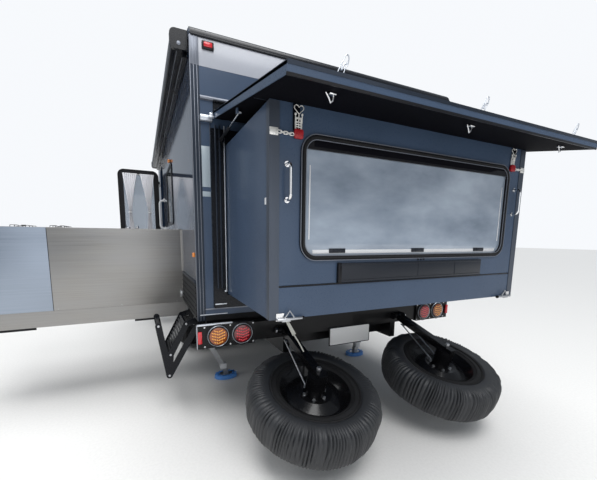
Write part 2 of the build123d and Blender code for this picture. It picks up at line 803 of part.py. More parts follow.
def rear_wall_trims():
    """Black flange round the box's opening and the fixed half of the lid's hinge."""
    half = BOX_WIDTH / 2 + BOX_GAP
    flange = block(-SURROUND_PROUD, 0, -half - SURROUND, half + SURROUND,
                   BOX_BOTTOM - BOX_GAP - SURROUND, BOX_TOP + BOX_GAP + SURROUND)
    flange -= box_slot(-SURROUND_PROUD - 1, 1)
    flange += strut_cheek(1) + strut_cheek(-1)
    rail_z = lid_hinge_z()
    wide = LID_WIDTH / 2
    web = HINGE_WEB
    rail = block(-web, 0, -wide, wide, rail_z - HINGE_RAIL_DOWN, rail_z + HINGE_RAIL_UP)
    rail += block(-HINGE_HOOD, 0, -wide, wide, rail_z + HINGE_RAIL_UP - HINGE_R, rail_z + HINGE_RAIL_UP)
    for y0, y1 in hinge_spans(fixed=True):
        rail += rod((HINGE_X, y0, rail_z), (HINGE_X, y1, rail_z), HINGE_R)
        rail += block(HINGE_X, 0, y0, y1, rail_z - web / 2, rail_z + web / 2)
    return solids_of(flange, rail)


def lid_hinge_z():
    """Height of the lid's hinge axis, on the lid's top face beside the wall."""
    return LID_WALL_Z + HINGE_X * tan(SLOPE) + LID_THICKNESS / cos(SLOPE) + HINGE_R


def hinge_spans(fixed):
    """The Y spans of the knuckles on the fixed or the moving leaf."""
    pitch = LID_WIDTH / HINGE_KNUCKLES
    first = -LID_WIDTH / 2
    spans = []
    for i in range(HINGE_KNUCKLES):
        if (i % 2 == 0) == fixed:
            spans.append((first + i * pitch + KNUCKLE_GAP, first + (i + 1) * pitch - KNUCKLE_GAP))
    return spans


def lid_point(along, above):
    """X and Z of a point on the lid: along its slope from the wall, above its underside."""
    return (-along * cos(SLOPE) - above * sin(SLOPE),
            LID_WALL_Z - along * sin(SLOPE) + above * cos(SLOPE))


def lid_slab(a0, a1, y0, y1, v0, v1):
    """A block in the lid's own slope."""
    corners = [lid_point(a0, v0), lid_point(a1, v0), lid_point(a1, v1), lid_point(a0, v1)]
    return outline_xz(corners, y0, y1)


def lid_panel():
    """The lid: a panel with an edge rail all round and a hinge leaf, over its hooks and strut brackets.

    What is screwed to the underside lies on a thin film of sealant.
    """
    half = LID_WIDTH / 2
    rail = LID_RAIL
    panel = lid_slab(LID_START, LID_DEPTH, -half, half, 0, LID_THICKNESS)
    panel -= lid_slab(LID_START + rail, LID_DEPTH - rail, -half + rail, half - rail,
                      LID_THICKNESS - LID_RAIL_PROUD, LID_THICKNESS + 1)
    rail_z = lid_hinge_z()
    x1, z1 = lid_point(LID_START + HINGE_LEAF, LID_THICKNESS)
    for y0, y1 in hinge_spans(fixed=False):
        panel += rod((HINGE_X, y0, rail_z), (HINGE_X, y1, rail_z), HINGE_R)
        panel += outline_xz([(HINGE_X, rail_z - HINGE_R), (HINGE_X, rail_z), (x1, z1 + HINGE_WEB - 1),
                             (x1, z1 - 2)], y0, y1)
    screwed = []
    far = LID_DEPTH - LID_HOOK_INSET
    for share in LID_HOOK_SHARES:
        y = share * half
        screwed.append(lid_slab(far - LID_HOOK_SIZE, far, y - LID_HOOK_SIZE / 2, y + LID_HOOK_SIZE / 2,
                                -LID_HOOK_DROP, -LID_SEAT))
    for side in (-1, 1):
        y = side * STRUT_Y
        near, outer = side * (STRUT_Y + STRUT_CHEEK_Y * 2 / 3), side * (STRUT_Y + STRUT_CHEEK_Y)
        y0, y1 = sorted((near, outer))
        lug = lid_slab(STRUT_EYE_ALONG - STRUT_CHEEK_HALF, STRUT_EYE_ALONG + STRUT_CHEEK_HALF, y0, y1,
                       -STRUT_DROP - STRUT_EYE_R, -LID_SEAT)
        x, z = lid_point(STRUT_EYE_ALONG, -STRUT_DROP)
        screwed.append(lug + rod((x, y - side * STRUT_CHEEK, z), (x, outer, z), STRUT_PIN_R))
    return solids_of(panel, screwed)


# Gas struts beside the box

def strut_frame():
    """The lower pin's place, the strut's direction and its length between the pins."""
    x0, z0 = -STRUT_PIN_OUT, STRUT_PIN_Z
    x1, z1 = lid_point(STRUT_EYE_ALONG, -STRUT_DROP)
    length = hypot(x1 - x0, z1 - z0)
    return (x0, z0), ((x1 - x0) / length, (z1 - z0) / length), length


def on_strut(along, y):
    (x0, z0), (ux, uz), _ = strut_frame()
    return (x0 + along * ux, y, z0 + along * uz)


def strut_cylinder(side):
    """The strut's pressure tube, with its eye on the wall's pin."""
    y = side * STRUT_Y
    (x0, z0), _, _ = strut_frame()
    half = STRUT_EYE_WIDTH / 2
    tube = rod((x0, y - half, z0), (x0, y + half, z0), STRUT_EYE_R)
    tube += rod(on_strut(STRUT_EYE_R - 1, y), on_strut(STRUT_CYL_LENGTH, y), STRUT_CYL_R)
    tube -= rod(on_strut(STRUT_END, y), on_strut(STRUT_CYL_LENGTH + 1, y), STRUT_ROD_R + PIN_GAP)
    return tube - rod((x0, y - half - 1, z0), (x0, y + half + 1, z0), STRUT_PIN_R + PIN_GAP)


def strut_rod(side):
    """The strut's rod, with its eye at the lid's pin."""
    y = side * STRUT_Y
    _, _, length = strut_frame()
    x1, _, z1 = on_strut(length, y)
    half = STRUT_EYE_WIDTH / 2
    piece = rod(on_strut(STRUT_ROD_START, y), on_strut(length - STRUT_EYE_R + 1, y), STRUT_ROD_R)
    piece += rod((x1, y - half, z1), (x1, y + half, z1), STRUT_EYE_R)
    return piece - rod((x1, y - half - 1, z1), (x1, y + half + 1, z1), STRUT_PIN_R + STRUT_EYE_PLAY)


# Rear box

def slideout_shell():
    """The box's four walls, open to the cabin."""
    half = BOX_WIDTH / 2
    x0, x1 = -BOX_OUT + BOX_WALL, PANEL + BOX_INSET
    shell = block(x0, x1, -half, half, BOX_BOTTOM, BOX_TOP)
    shell -= block(x0 - 1, x1 + 1, -half + BOX_WALL, half - BOX_WALL,
                   BOX_BOTTOM + BOX_WALL, BOX_TOP - BOX_WALL)
    return shell


def box_window(inset, x0, x1):
    """A plate as large as the box's window less an inset."""
    half = WINDOW_WIDTH / 2 - inset
    return rounded_x(x0, x1, -half, half, WINDOW_BOTTOM + inset, WINDOW_TOP - inset, WINDOW_RADIUS - inset)


def slideout_rear_panel():
    """The box's rear wall, with its window cut and a pressed crease."""
    half = BOX_WIDTH / 2
    x0 = -BOX_OUT
    panel = block(x0, x0 + BOX_WALL, -half, half, BOX_BOTTOM, BOX_TOP)
    panel -= box_window(0, x0 - 1, x0 + BOX_WALL + 1)
    groove = outline_xz([(x0 - 1, BOX_CREASE_Z - BOX_CREASE), (x0 + BOX_CREASE_DEPTH, BOX_CREASE_Z),
                         (x0 - 1, BOX_CREASE_Z + BOX_CREASE)], -half - 1, half + 1)
    return panel - groove


def slideout_window_frame():
    """Flange and sleeve round the rear window, with a head rail and an inner sill rail."""
    x0 = -BOX_OUT
    face = x0 - WINDOW_PROUD
    inner = 1 + WINDOW_SLEEVE
    frame = box_window(-WINDOW_LAP, face, x0) + box_window(1, face, x0 + BOX_WALL)
    frame -= box_window(inner, face - 1, x0 + BOX_WALL + 1)
    top = WINDOW_TOP - inner
    half = WINDOW_WIDTH / 2
    head = box_window(inner - 1, face, x0 + 1) & block(face, x0 + 1, -half, half,
                                                      top - WINDOW_HEAD_RAIL, WINDOW_TOP)
    rail_half = half - WINDOW_RAIL_INSET
    sill = block(x0 + BOX_WALL / 2, x0 + BOX_WALL, -rail_half, rail_half,
                 WINDOW_BOTTOM + WINDOW_SLEEVE, WINDOW_BOTTOM + WINDOW_SLEEVE + WINDOW_RAIL_HEIGHT)
    return frame + head + sill


def slideout_window_pane():
    x0 = -BOX_OUT + 2
    return box_window(1 + WINDOW_SLEEVE + PIN_GAP, x0, x0 + GLASS)


def slideout_corner_angles():
    """Aluminium angles over the box's rear corners."""
    half = BOX_WIDTH / 2
    x0 = -BOX_OUT
    top = BOX_TOP - TRIM - 1
    angle = block(x0 - TRIM, x0, half - BOX_ANGLE_LEG, half + TRIM, BOX_BOTTOM, top)
    angle += block(x0 - TRIM, x0 + BOX_ANGLE_RETURN, half, half + TRIM, BOX_BOTTOM, top)
    return solids_of(both(angle))


def grip(x, y, z0, z1):
    """A D handle standing off a face that looks back."""
    out = x - HANDLE_OUT
    path = FilletPolyline((x, y, z0), (out, y, z0), (out, y, z1), (x, y, z1), radius=HANDLE_BEND)
    handle = sweep(Plane(origin=(x, y, z0), z_dir=(-1, 0, 0)) * Circle(HANDLE_R), path=path)
    for z in (z0, z1):
        handle += rod((x, y, z), (x - HANDLE_FOOT, y, z), HANDLE_FOOT_R)
    return handle


def slideout_fittings():
    """Handles, toggle plates, bottom latches and the dark bar under the window."""
    face = -BOX_OUT
    front = face - TRIM
    pieces = [block(face - BAR_PROUD, face, -BAR_HALF, BAR_HALF, BAR_BOTTOM, BAR_BOTTOM + BAR_HEIGHT)]
    for side in (-1, 1):
        pieces.append(grip(face, side * HANDLE_Y, HANDLE_BOTTOM, HANDLE_BOTTOM + HANDLE_LENGTH))
        y, half = side * TOGGLE_Y, TOGGLE_WIDTH / 2
        pieces.append(block(face - TOGGLE_PLATE, face, y - half, y + half, TOGGLE_BOTTOM, BOX_TOP - TRIM))
        y, half = side * LATCH_Y, LATCH_WIDTH / 2
        low = BOX_BOTTOM - LATCH_PLATE
        latch = block(front - LATCH_PLATE, face + LATCH_IN, y - half, y + half, low, BOX_BOTTOM)
        latch += block(front - LATCH_PLATE, front, y - half, y + half, low, BOX_BOTTOM + LATCH_UP)
        pieces.append(latch)
    return solids_of(pieces)


# Chassis

def drawbar_nose():
    """X where the drawbar's two arms meet behind the tow eye."""
    return EYE_X - EYE_OUTER_R - DRAW_NOSE


def main_rails():
    """Both rails and the drawbar's A frame, joined by plates and the jockey's clamp tube."""
    z0, z1 = RAIL_BOTTOM, RAIL_TOP
    half = RAIL_WIDTH / 2
    rail = block(BEAM_X + BEAM_DEPTH, BODY_LENGTH, RAIL_Y - half, RAIL_Y + half, z0, z1)
    nose = drawbar_nose()
    mid = (z0 + z1) / 2
    arm = bar((BODY_LENGTH - DRAW_LAP, RAIL_Y - half, mid), (nose, DRAW_HALF_AT_EYE, mid),
              RAIL_WIDTH, RAIL_HEIGHT)
    side = rail + arm
    frame = side + mirrored(side)
    frame += block(nose - DRAW_PLATE_BACK, nose + RAIL_WIDTH, -DRAW_PLATE_HALF, DRAW_PLATE_HALF,
                   z1, z1 + DRAW_PLATE)
    frame += block(nose - DRAW_BLOCK, nose + DRAW_BLOCK, -DRAW_BLOCK_HALF, DRAW_BLOCK_HALF, z0, z1)
    frame += rod((JOCKEY_X, 0, JOCKEY_TUBE_BOTTOM), (JOCKEY_X, 0, JOCKEY_TUBE_TOP), JOCKEY_TUBE_R)
    frame += block(JOCKEY_X - JOCKEY_CLAMP_BACK, nose, -JOCKEY_CLAMP, JOCKEY_CLAMP, mid, z1)
    return frame - rod((JOCKEY_X, 0, JOCKEY_TUBE_BOTTOM - 1),
                       (JOCKEY_X, 0, JOCKEY_TUBE_TOP - JOCKEY_TUBE_CAP), JOCKEY_LEG_R + JOCKEY_LEG_PLAY)


def chassis_frame():
    """Rails and drawbar, with cross members between the rails and on top of them."""
    pieces = [main_rails()]
    inner = RAIL_Y - RAIL_WIDTH / 2
    for member in MEMBERS:
        x0, x1 = member["x"], member["x"] + member["length"]
        beside_wheel = abs(x0 - AXLE_X) < ARCH_HALF + 2 * RAIL_WIDTH
        half = HALF - ARCH_DEPTH - 2 * MEMBER_SIDE_GAP if beside_wheel else INNER - MEMBER_SIDE_GAP
        pieces.append(block(x0, x1, -half, half, RAIL_TOP, BODY_BOTTOM))
        pieces.append(block(x0, x1, -inner, inner, RAIL_BOTTOM + MEMBER_DROP, RAIL_TOP))
    return solids_of(pieces)


def carrier_lugs():
    """Two lugs behind the beam and the pin through them, for one spare wheel's arm."""
    lugs = rod((SPARE_PIVOT_X, SPARE_Y - SPARE_PIN_HALF, SPARE_PIVOT_Z),
               (SPARE_PIVOT_X, SPARE_Y + SPARE_PIN_HALF, SPARE_PIVOT_Z), SPARE_PIN_R)
    half = SPARE_LUG / 2
    for y in (SPARE_Y - SPARE_LUG_Y, SPARE_Y + SPARE_LUG_Y):
        lugs += block(SPARE_PIVOT_X, BEAM_X, y - half, y + half,
                      SPARE_PIVOT_Z - SPARE_LUG_R, SPARE_PIVOT_Z + SPARE_LUG_R)
        lugs += rod((SPARE_PIVOT_X, y - half, SPARE_PIVOT_Z), (SPARE_PIVOT_X, y + half, SPARE_PIVOT_Z),
                    SPARE_LUG_R)
    return lugs


def rear_beam():
    """Rear cross beam with the carriers' lugs, the lamp panels and the plate's bracket."""
    x1 = BEAM_X + BEAM_DEPTH
    beam = block(BEAM_X, x1, -BEAM_HALF, BEAM_HALF, BEAM_BOTTOM, BEAM_BOTTOM + BEAM_HEIGHT)
    half = RAIL_WIDTH / 2
    stub = block(BEAM_X, x1, RAIL_Y - half, RAIL_Y + half, RAIL_BOTTOM, BEAM_BOTTOM)
    p = LAMP_PANEL_PLATE
    x0, back = LAMP_PANEL_X, LAMP_PANEL_X + LAMP_PANEL_DEPTH
    z0, z1 = LAMP_PANEL_BOTTOM, LAMP_PANEL_BOTTOM + LAMP_PANEL_HEIGHT
    panel = block(x0, back, BEAM_HALF, LAMP_PANEL_OUTER, z0, z1)
    panel -= block(x0 + p, back + 1, BEAM_HALF + p, LAMP_PANEL_OUTER - p, z0 + p, z1 - p)
    side = stub + carrier_lugs() + panel
    bracket = block(BEAM_X - PLATE_BRACKET, BEAM_X, PLATE_Y - PLATE_WIDTH / 2, PLATE_Y + PLATE_WIDTH / 2,
                    PLATE_BOTTOM, PLATE_BOTTOM + PLATE_HEIGHT)
    return beam + side + mirrored(side) + bracket


def rear_lamps():
    """Two round lamps and an end marker on each side, and the high markers."""
    pieces = []
    x0 = LAMP_PANEL_X
    for y in LAMP_ROWS:
        lens = rod((x0, y, LAMP_Z), (x0 - LAMP_PROUD, y, LAMP_Z), LAMP_R)
        pieces += both(fillet(lens.faces().sort_by(Axis.X)[0].edges(), radius=LAMP_EDGE))
    inner = LAMP_PANEL_OUTER - END_MARKER_IN
    pieces += both(block(x0 - END_MARKER_PROUD, x0, inner, inner + END_MARKER_WIDTH,
                         LAMP_Z - END_MARKER_HALF, LAMP_Z + END_MARKER_HALF))
    z, tall, wide = ROOF_TOP - HIGH_MARKER_DROP, HIGH_MARKER_HEIGHT / 2, HIGH_MARKER_WIDTH / 2
    pieces += both(rounded_x(-HIGH_MARKER_PROUD, 0, HIGH_MARKER_Y - wide, HIGH_MARKER_Y + wide,
                             z - tall, z + tall, HIGH_MARKER_RADIUS))
    return solids_of(pieces)


# Running gear

def tyre_section(outer, inner, width, edge):
    """Half section of a tyre, as (radius, height) points about its middle plane, open at the beads."""
    h = width / 2
    w = TYRE_WALL
    bulge = (inner + outer) / 2
    half = [(inner, h * 0.78), (bulge, h), (outer, h - edge)]
    room = [(outer - w, h - edge), (bulge, h - w), (inner, h * 0.78 - w)]
    return [(r, -z) for r, z in half] + half[::-1] + room[::-1] + [(r, -z) for r, z in room]


def wheel_at(y):
    return (AXLE_X, y, TYRE_R)


def road_tyre(side):
    section = tyre_section(TYRE_R, RIM_R, TYRE_WIDTH, TREAD_EDGE)
    return turned(section, wheel_at(side * WHEEL_Y), (0, 1, 0), (1, 0, 0))


def rim_section(radius, width):
    """Half section of a pressed wheel: barrel, disc and hub face."""
    h = width / 2
    return [
        (HUB_R - 4, h * 0.28), (radius * 0.5, h * 0.42), (radius * 0.82, h * 0.2), (radius * 0.86, -h * 0.62),
        (radius - PIN_GAP, -h * 0.74), (radius - PIN_GAP, -h * 0.66), (radius * 0.9, -h * 0.5),
        (radius * 0.9, h * 0.5), (radius - PIN_GAP, h * 0.74), (radius * 0.8, h * 0.36),
        (radius * 0.5, h * 0.58), (HUB_R - 4, h * 0.44),
    ]


def road_rim(side):
    """Pressed steel wheel with its dish outwards."""
    rim = turned(rim_section(RIM_R, TYRE_WIDTH), wheel_at(WHEEL_Y), (0, 1, 0), (1, 0, 0))
    for i in range(RIM_HOLES):
        angle = radians(360 / RIM_HOLES * i)
        x, z = AXLE_X + RIM_HOLE_RING * cos(angle), TYRE_R + RIM_HOLE_RING * sin(angle)
        rim -= rod((x, WHEEL_Y - TYRE_WIDTH / 3, z), (x, WHEEL_Y + TYRE_WIDTH / 2, z), RIM_HOLE_R)
    back = WHEEL_Y + HUB_START
    rim += rod((AXLE_X, back, TYRE_R), (AXLE_X, WHEEL_Y + HUB_END, TYRE_R), HUB_R)
    rim -= rod((AXLE_X, back - 1, TYRE_R), (AXLE_X, back + SPINDLE_LENGTH + HUB_CLEAR, TYRE_R),
               SPINDLE_R + SPINDLE_PLAY)
    return rim if side > 0 else mirrored(rim)


def trailing_arm():
    """Arm with its cross pin, stub axle, brake drum and the spindle that carries the wheel."""
    px, pz = AXLE_X + ARM_PIVOT_AHEAD, RAIL_BOTTOM - ARM_PIVOT_DROP
    arm = bar((px, RAIL_Y, pz), (AXLE_X, RAIL_Y + ARM_END_OUT, TYRE_R), ARM_WIDTH, ARM_HEIGHT)
    arm += rod((px, RAIL_Y - ARM_PIN_HALF, pz), (px, RAIL_Y + ARM_PIN_HALF, pz), ARM_PIN_R)
    hub = WHEEL_Y + HUB_START
    arm += rod((AXLE_X, RAIL_Y + ARM_PIN_HALF, TYRE_R), (AXLE_X, hub - HUB_CLEAR, TYRE_R), AXLE_R)
    arm += rod((AXLE_X, hub - 2 * HUB_CLEAR, TYRE_R), (AXLE_X, hub + SPINDLE_LENGTH, TYRE_R), SPINDLE_R)
    return arm + rod((AXLE_X, WHEEL_Y - DRUM_INNER, TYRE_R), (AXLE_X, WHEEL_Y - DRUM_OUTER, TYRE_R), DRUM_R)


def arm_cheek(y0):
    """One of the two cheeks that hold the arm's pin on the rail."""
    px, pz = AXLE_X + ARM_PIVOT_AHEAD, RAIL_BOTTOM - ARM_PIVOT_DROP
    cheek = block(px - ARM_CHEEK_HALF, px + ARM_CHEEK_HALF, y0, y0 + ARM_CHEEK, pz - ARM_CHEEK_HALF,
                  RAIL_BOTTOM + ARM_PIN_HALF)
    return cheek - rod((px, y0 - 1, pz), (px, y0 + ARM_CHEEK + 1, pz), ARM_PIN_R)


def coil_spring():
    """Coil spring round its tube, under a plate beside the rail."""
    x, y = AXLE_X + SPRING_AHEAD, RAIL_Y + SPRING_OUT
    low, top = TYRE_R + ARM_PIVOT_DROP, BODY_BOTTOM
    half = SPRING_WIRE / 2
    spring = rod((x, y, low - SPRING_SEAT), (x, y, top), SPRING_R)
    for i in range(SPRING_COILS):
        z = low + half + i * (top - low - 2 * SPRING_PLATE) / (SPRING_COILS - 1)
        spring += turned([(SPRING_R - 2, z - half), (SPRING_COIL_R, z - half), (SPRING_COIL_R, z + half),
                          (SPRING_R - 2, z + half)], (x, y, 0), (0, 0, 1), (1, 0, 0))
    return spring + block(x - SPRING_PLATE_HALF, x + SPRING_PLATE_HALF, RAIL_Y + RAIL_WIDTH / 2,
                          y + SPRING_COIL_R, top - SPRING_PLATE, top)


def suspension():
    """Trailing arms, their cheeks and coil springs, both sides."""
    arm = trailing_arm()
    half = RAIL_WIDTH / 2
    pieces = [arm, arm_cheek(RAIL_Y - half - ARM_CHEEK), arm_cheek(RAIL_Y + half), coil_spring() - arm]
    return solids_of(*[both(piece) for piece in pieces])


# Tow eye and jockey wheel

def tow_eye():
    """The ring that drops over the towing pin, on its stem."""
    half = EYE_HEIGHT / 2
    ring = rod((EYE_X, 0, EYE_Z - half), (EYE_X, 0, EYE_Z + half), EYE_OUTER_R)
    rise = EYE_STEM_HEIGHT / 2
    stem = block(drawbar_nose() + DRAW_BLOCK, EYE_X - EYE_OUTER_R + EYE_STEM_LAP,
                 -EYE_STEM_HALF, EYE_STEM_HALF, EYE_Z - rise, EYE_Z + rise)
    return ring + stem - rod((EYE_X, 0, EYE_Z - EYE_HEIGHT), (EYE_X, 0, EYE_Z + EYE_HEIGHT), EYE_R)


def jockey_leg():
    """Sliding leg with its fork."""
    top, half = JOCKEY_FORK_TOP, JOCKEY_FORK_HALF
    outer = JOCKEY_FORK_INNER + JOCKEY_FORK
    low = JOCKEY_WHEEL_R - JOCKEY_FORK_THICKNESS
    leg = rod((JOCKEY_X, 0, JOCKEY_LEG_BOTTOM), (JOCKEY_X, 0, JOCKEY_LEG_TOP), JOCKEY_LEG_R)
    leg += block(JOCKEY_X - half, JOCKEY_X + half, -outer, outer, top - JOCKEY_FORK_THICKNESS, top)
    for side in (-1, 1):
        y0, y1 = sorted((side * JOCKEY_FORK_INNER, side * outer))
        leg += outline_xz([(JOCKEY_X - half, top), (JOCKEY_X + half, top), (JOCKEY_X + half * 0.65, low),
                           (JOCKEY_X - half * 0.65, low)], y0, y1)
    z = JOCKEY_WHEEL_R
    return leg + rod((JOCKEY_X, -JOCKEY_AXLE_HALF, z), (JOCKEY_X, JOCKEY_AXLE_HALF, z), JOCKEY_AXLE_R)


def jockey_wheel():
    h = JOCKEY_WHEEL_WIDTH / 2
    r = JOCKEY_WHEEL_R
    bore = JOCKEY_AXLE_R + 0.5
    profile = [(bore, -h + 2), (r * 0.7, -h + 2), (r * 0.78, -h), (r * 0.92, -h + 2), (r, -h * 0.6),
               (r, h * 0.6), (r * 0.92, h - 2), (r * 0.78, h), (r * 0.7, h - 2), (bore, h - 2)]
    return turned(profile, (JOCKEY_X, 0, r), (0, 1, 0), (1, 0, 0))


# Spare wheels on their arms

def spare_point(along, above, y):
    """A point in an arm's own slope."""
    return (SPARE_PIVOT_X + along * SPARE_DIR[0] + above * SPARE_UP[0], y,
            SPARE_PIVOT_Z + along * SPARE_DIR[2] + above * SPARE_UP[2])


def spare_middle():
    """How far the spare wheel's middle plane lies below its arm's centreline."""
    return -SPARE_ARM_SIZE / 2 - ARM_TO_TYRE - SPARE_WIDTH / 2


def spare_carrier(side):
    """Swing arm with its hub and the spare's black rim."""
    y = side * SPARE_Y
    arm = bar(spare_point(SPARE_ARM_START, 0, y), spare_point(SPARE_ARM + SPARE_ARM_PAST, 0, y),
              SPARE_ARM_SIZE, SPARE_ARM_SIZE)
    arm += rod(spare_point(0, 0, y - SPARE_TUBE_HALF), spare_point(0, 0, y + SPARE_TUBE_HALF), SPARE_TUBE_R)
    arm -= rod(spare_point(0, 0, y - SPARE_TUBE_HALF - 1), spare_point(0, 0, y + SPARE_TUBE_HALF + 1),
               SPARE_PIN_R + SPARE_PIN_PLAY)
    mid = spare_middle()
    rim = turned(rim_section(RIM_R, TYRE_WIDTH), spare_point(SPARE_ARM, mid, y), SPARE_UP, (0, 1, 0))
    hub = rod(spare_point(SPARE_ARM, mid + SPARE_HUB_SINK, y), spare_point(SPARE_ARM, 0, y), SPARE_HUB_R)
    return arm + rim + hub


def spare_cover(side):
    """Covered spare tyre, open over its rim."""
    section = tyre_section(SPARE_R, RIM_R, SPARE_WIDTH, SPARE_TREAD_EDGE)
    return turned(section, spare_point(SPARE_ARM, spare_middle(), side * SPARE_Y), SPARE_UP, (0, 1, 0))


# Kitchen

def kitchen_cabinet():
    """Folded steel cabinet under the worktop, with its shallow tray between the runners."""
    x0, x1 = KITCHEN_X, KITCHEN_X + KITCHEN_LENGTH
    s = KITCHEN_SHEET
    side = RUNNER + PIN_GAP
    end = KITCHEN_OUT - TRAY_INSET
    body = block(x0, x1, KITCHEN_IN, KITCHEN_OUT, KITCHEN_BOTTOM, KITCHEN_TOP - KITCHEN_TOP_THICKNESS)
    tray = block(x0 + side, x1 - side, KITCHEN_IN, end, TRAY_BOTTOM, KITCHEN_BOTTOM)
    room = block(x0 + s, x1 - s, KITCHEN_IN + s, KITCHEN_OUT - s, KITCHEN_BOTTOM + s, KITCHEN_TOP)
    tray_room = block(x0 + side + s, x1 - side - s, KITCHEN_IN + s, end - s, TRAY_BOTTOM + s,
                      KITCHEN_BOTTOM + s + 1)
    return body + tray - room - tray_room


def kitchen_top():
    """Worktop with a sink bowl and a cooker's well."""
    x0, x1 = KITCHEN_X, KITCHEN_X + KITCHEN_LENGTH
    top = block(x0, x1, KITCHEN_IN, KITCHEN_OUT, KITCHEN_TOP - KITCHEN_TOP_THICKNESS, KITCHEN_TOP)
    first = x0 + KITCHEN_BACK_MARGIN
    top -= rounded_z(first, first + SINK_WIDTH, SINK_Y, SINK_Y + SINK_LENGTH,
                     KITCHEN_TOP - SINK_DEPTH, KITCHEN_TOP + 1, SINK_RADIUS)
    top -= rounded_z(first, first + HOB_WIDTH, HOB_Y, HOB_Y + HOB_LENGTH,
                     KITCHEN_TOP - HOB_DEPTH, KITCHEN_TOP + 1, HOB_RADIUS)
    return top


def kitchen_runners():
    """Fixed runners across the rails, one each side of the kitchen's tray, under its cabinet."""
    far_end = KITCHEN_IN - (KITCHEN_OUT - HALF)
    end, top = HALF - RUNNER_INSET, KITCHEN_BOTTOM - PIN_GAP
    pieces = []
    for x0 in (KITCHEN_X, KITCHEN_X + KITCHEN_LENGTH - RUNNER):
        pieces.append(block(x0, x0 + RUNNER, far_end, end, RAIL_TOP, top))
    return solids_of(pieces)


# Door

def door_hinge_heights():
    return [DOOR_BOTTOM + share * (DOOR_TOP - DOOR_BOTTOM) for share in DOOR_HINGE_SHARES]


def door_rect(inset, x0, x1):
    """A plate as large as the open door less an inset."""
    axis = HALF + DOOR_HINGE_OUT
    return rounded_x(x0, x1, axis + DOOR_EDGE + inset, axis + DOOR_WIDTH - inset,
                     DOOR_BOTTOM + inset, DOOR_TOP - inset, max(DOOR_RADIUS - inset * 0.6, 20))


def door_panel():
    """Door slab with a large window cut and its hinge knuckles."""
    x1 = DOOR_HINGE_X - DOOR_FACE_GAP
    x0 = x1 - DOOR_THICKNESS
    slab = door_rect(0, x0, x1) - door_rect(DOOR_BORDER, x0 - 1, x1 + 1)
    axis = HALF + DOOR_HINGE_OUT
    border = DOOR_BORDER - DOOR_FACE_GAP
    slab += block(x0, x1, axis + border, axis + DOOR_WIDTH - border, DOOR_BOTTOM + border, DOOR_WINDOW_BOTTOM)
    r = DOOR_KNUCKLE_R
    for z in door_hinge_heights():
        low, high = z + DOOR_KNUCKLE_HALF + PIN_GAP, z + DOOR_KNUCKLE_LONG
        slab += rod((DOOR_HINGE_X, axis, low), (DOOR_HINGE_X, axis, high), r)
        slab += block(x1 - 2, DOOR_HINGE_X, axis, axis + DOOR_EDGE + DOOR_LEAF, low, high)
    return slab


def door_pane():
    middle = DOOR_HINGE_X - DOOR_FACE_GAP - DOOR_THICKNESS / 2
    axis = HALF + DOOR_HINGE_OUT
    gap = DOOR_BORDER + PIN_GAP
    return rounded_x(middle - GLASS / 2, middle + GLASS / 2, axis + DOOR_EDGE + gap, axis + DOOR_WIDTH - gap,
                     DOOR_WINDOW_BOTTOM + PIN_GAP, DOOR_TOP - gap, DOOR_PANE_RADIUS)


def door_curtains():
    """Two curtains on the door's inner face, each drawn in at its middle."""
    x1 = DOOR_HINGE_X - DOOR_FACE_GAP - DOOR_THICKNESS - PIN_GAP
    x0 = x1 - CURTAIN_DEPTH
    middle = HALF + DOOR_HINGE_OUT + (DOOR_EDGE + DOOR_WIDTH) / 2
    top, foot = DOOR_TOP - CURTAIN_TOP_DROP, DOOR_BOTTOM + CURTAIN_RISE
    waist = DOOR_BOTTOM + CURTAIN_TIE
    pieces = []
    for side in (-1, 1):
        inner, outer = middle + side * CURTAIN_INNER, middle + side * CURTAIN_OUTER
        tie = middle + side * CURTAIN_TIE_OUT
        corners = [(inner, top), (outer, top), (outer, foot), (inner, foot), (tie, waist)]
        pieces.append(outline_yz(corners, x0, x1))
    return solids_of(pieces)


def hinge_leaf(z):
    """One fixed hinge knuckle on the body."""
    axis = HALF + DOOR_HINGE_OUT
    z0, z1 = z - DOOR_KNUCKLE_HALF, z + DOOR_KNUCKLE_HALF
    x0 = DOOR_HINGE_X - 2
    leaf = rod((DOOR_HINGE_X, axis, z0), (DOOR_HINGE_X, axis, z1), DOOR_KNUCKLE_R)
    leaf += block(x0, x0 + DOOR_LEAF, HALF, HALF + DOOR_LEAF_THICKNESS, z0, z1)
    return leaf + block(x0, x0 + DOOR_LEAF_THICKNESS + 2, HALF, axis, z0, z1)


def door_hardware():
    """Fixed hinge knuckles and the grab handle beside the doorway."""
    x = DOOR_HINGE_X - DOOR_WIDTH - GRAB_AHEAD
    out = HALF + GRAB_OUT
    z0, z1 = GRAB_BOTTOM, GRAB_BOTTOM + GRAB_LENGTH
    path = FilletPolyline((x, HALF, z0), (x, out, z0 + GRAB_RISE), (x, out, z1 - GRAB_RISE), (x, HALF, z1),
                          radius=GRAB_BEND)
    handle = sweep(Plane(origin=(x, HALF, z0), z_dir=(0, GRAB_OUT, GRAB_RISE)) * Circle(GRAB_R), path=path)
    foot = GRAB_FOOT_R
    handle &= block(x - foot, x + foot, HALF, out + foot, z0 - GRAB_LENGTH, z1 + GRAB_LENGTH)
    for z in (z0, z1):
        handle += rod((x, HALF, z), (x, HALF + GRAB_FOOT, z), foot)
    return solids_of([hinge_leaf(z) for z in door_hinge_heights()], handle)


# Rear stabilisers

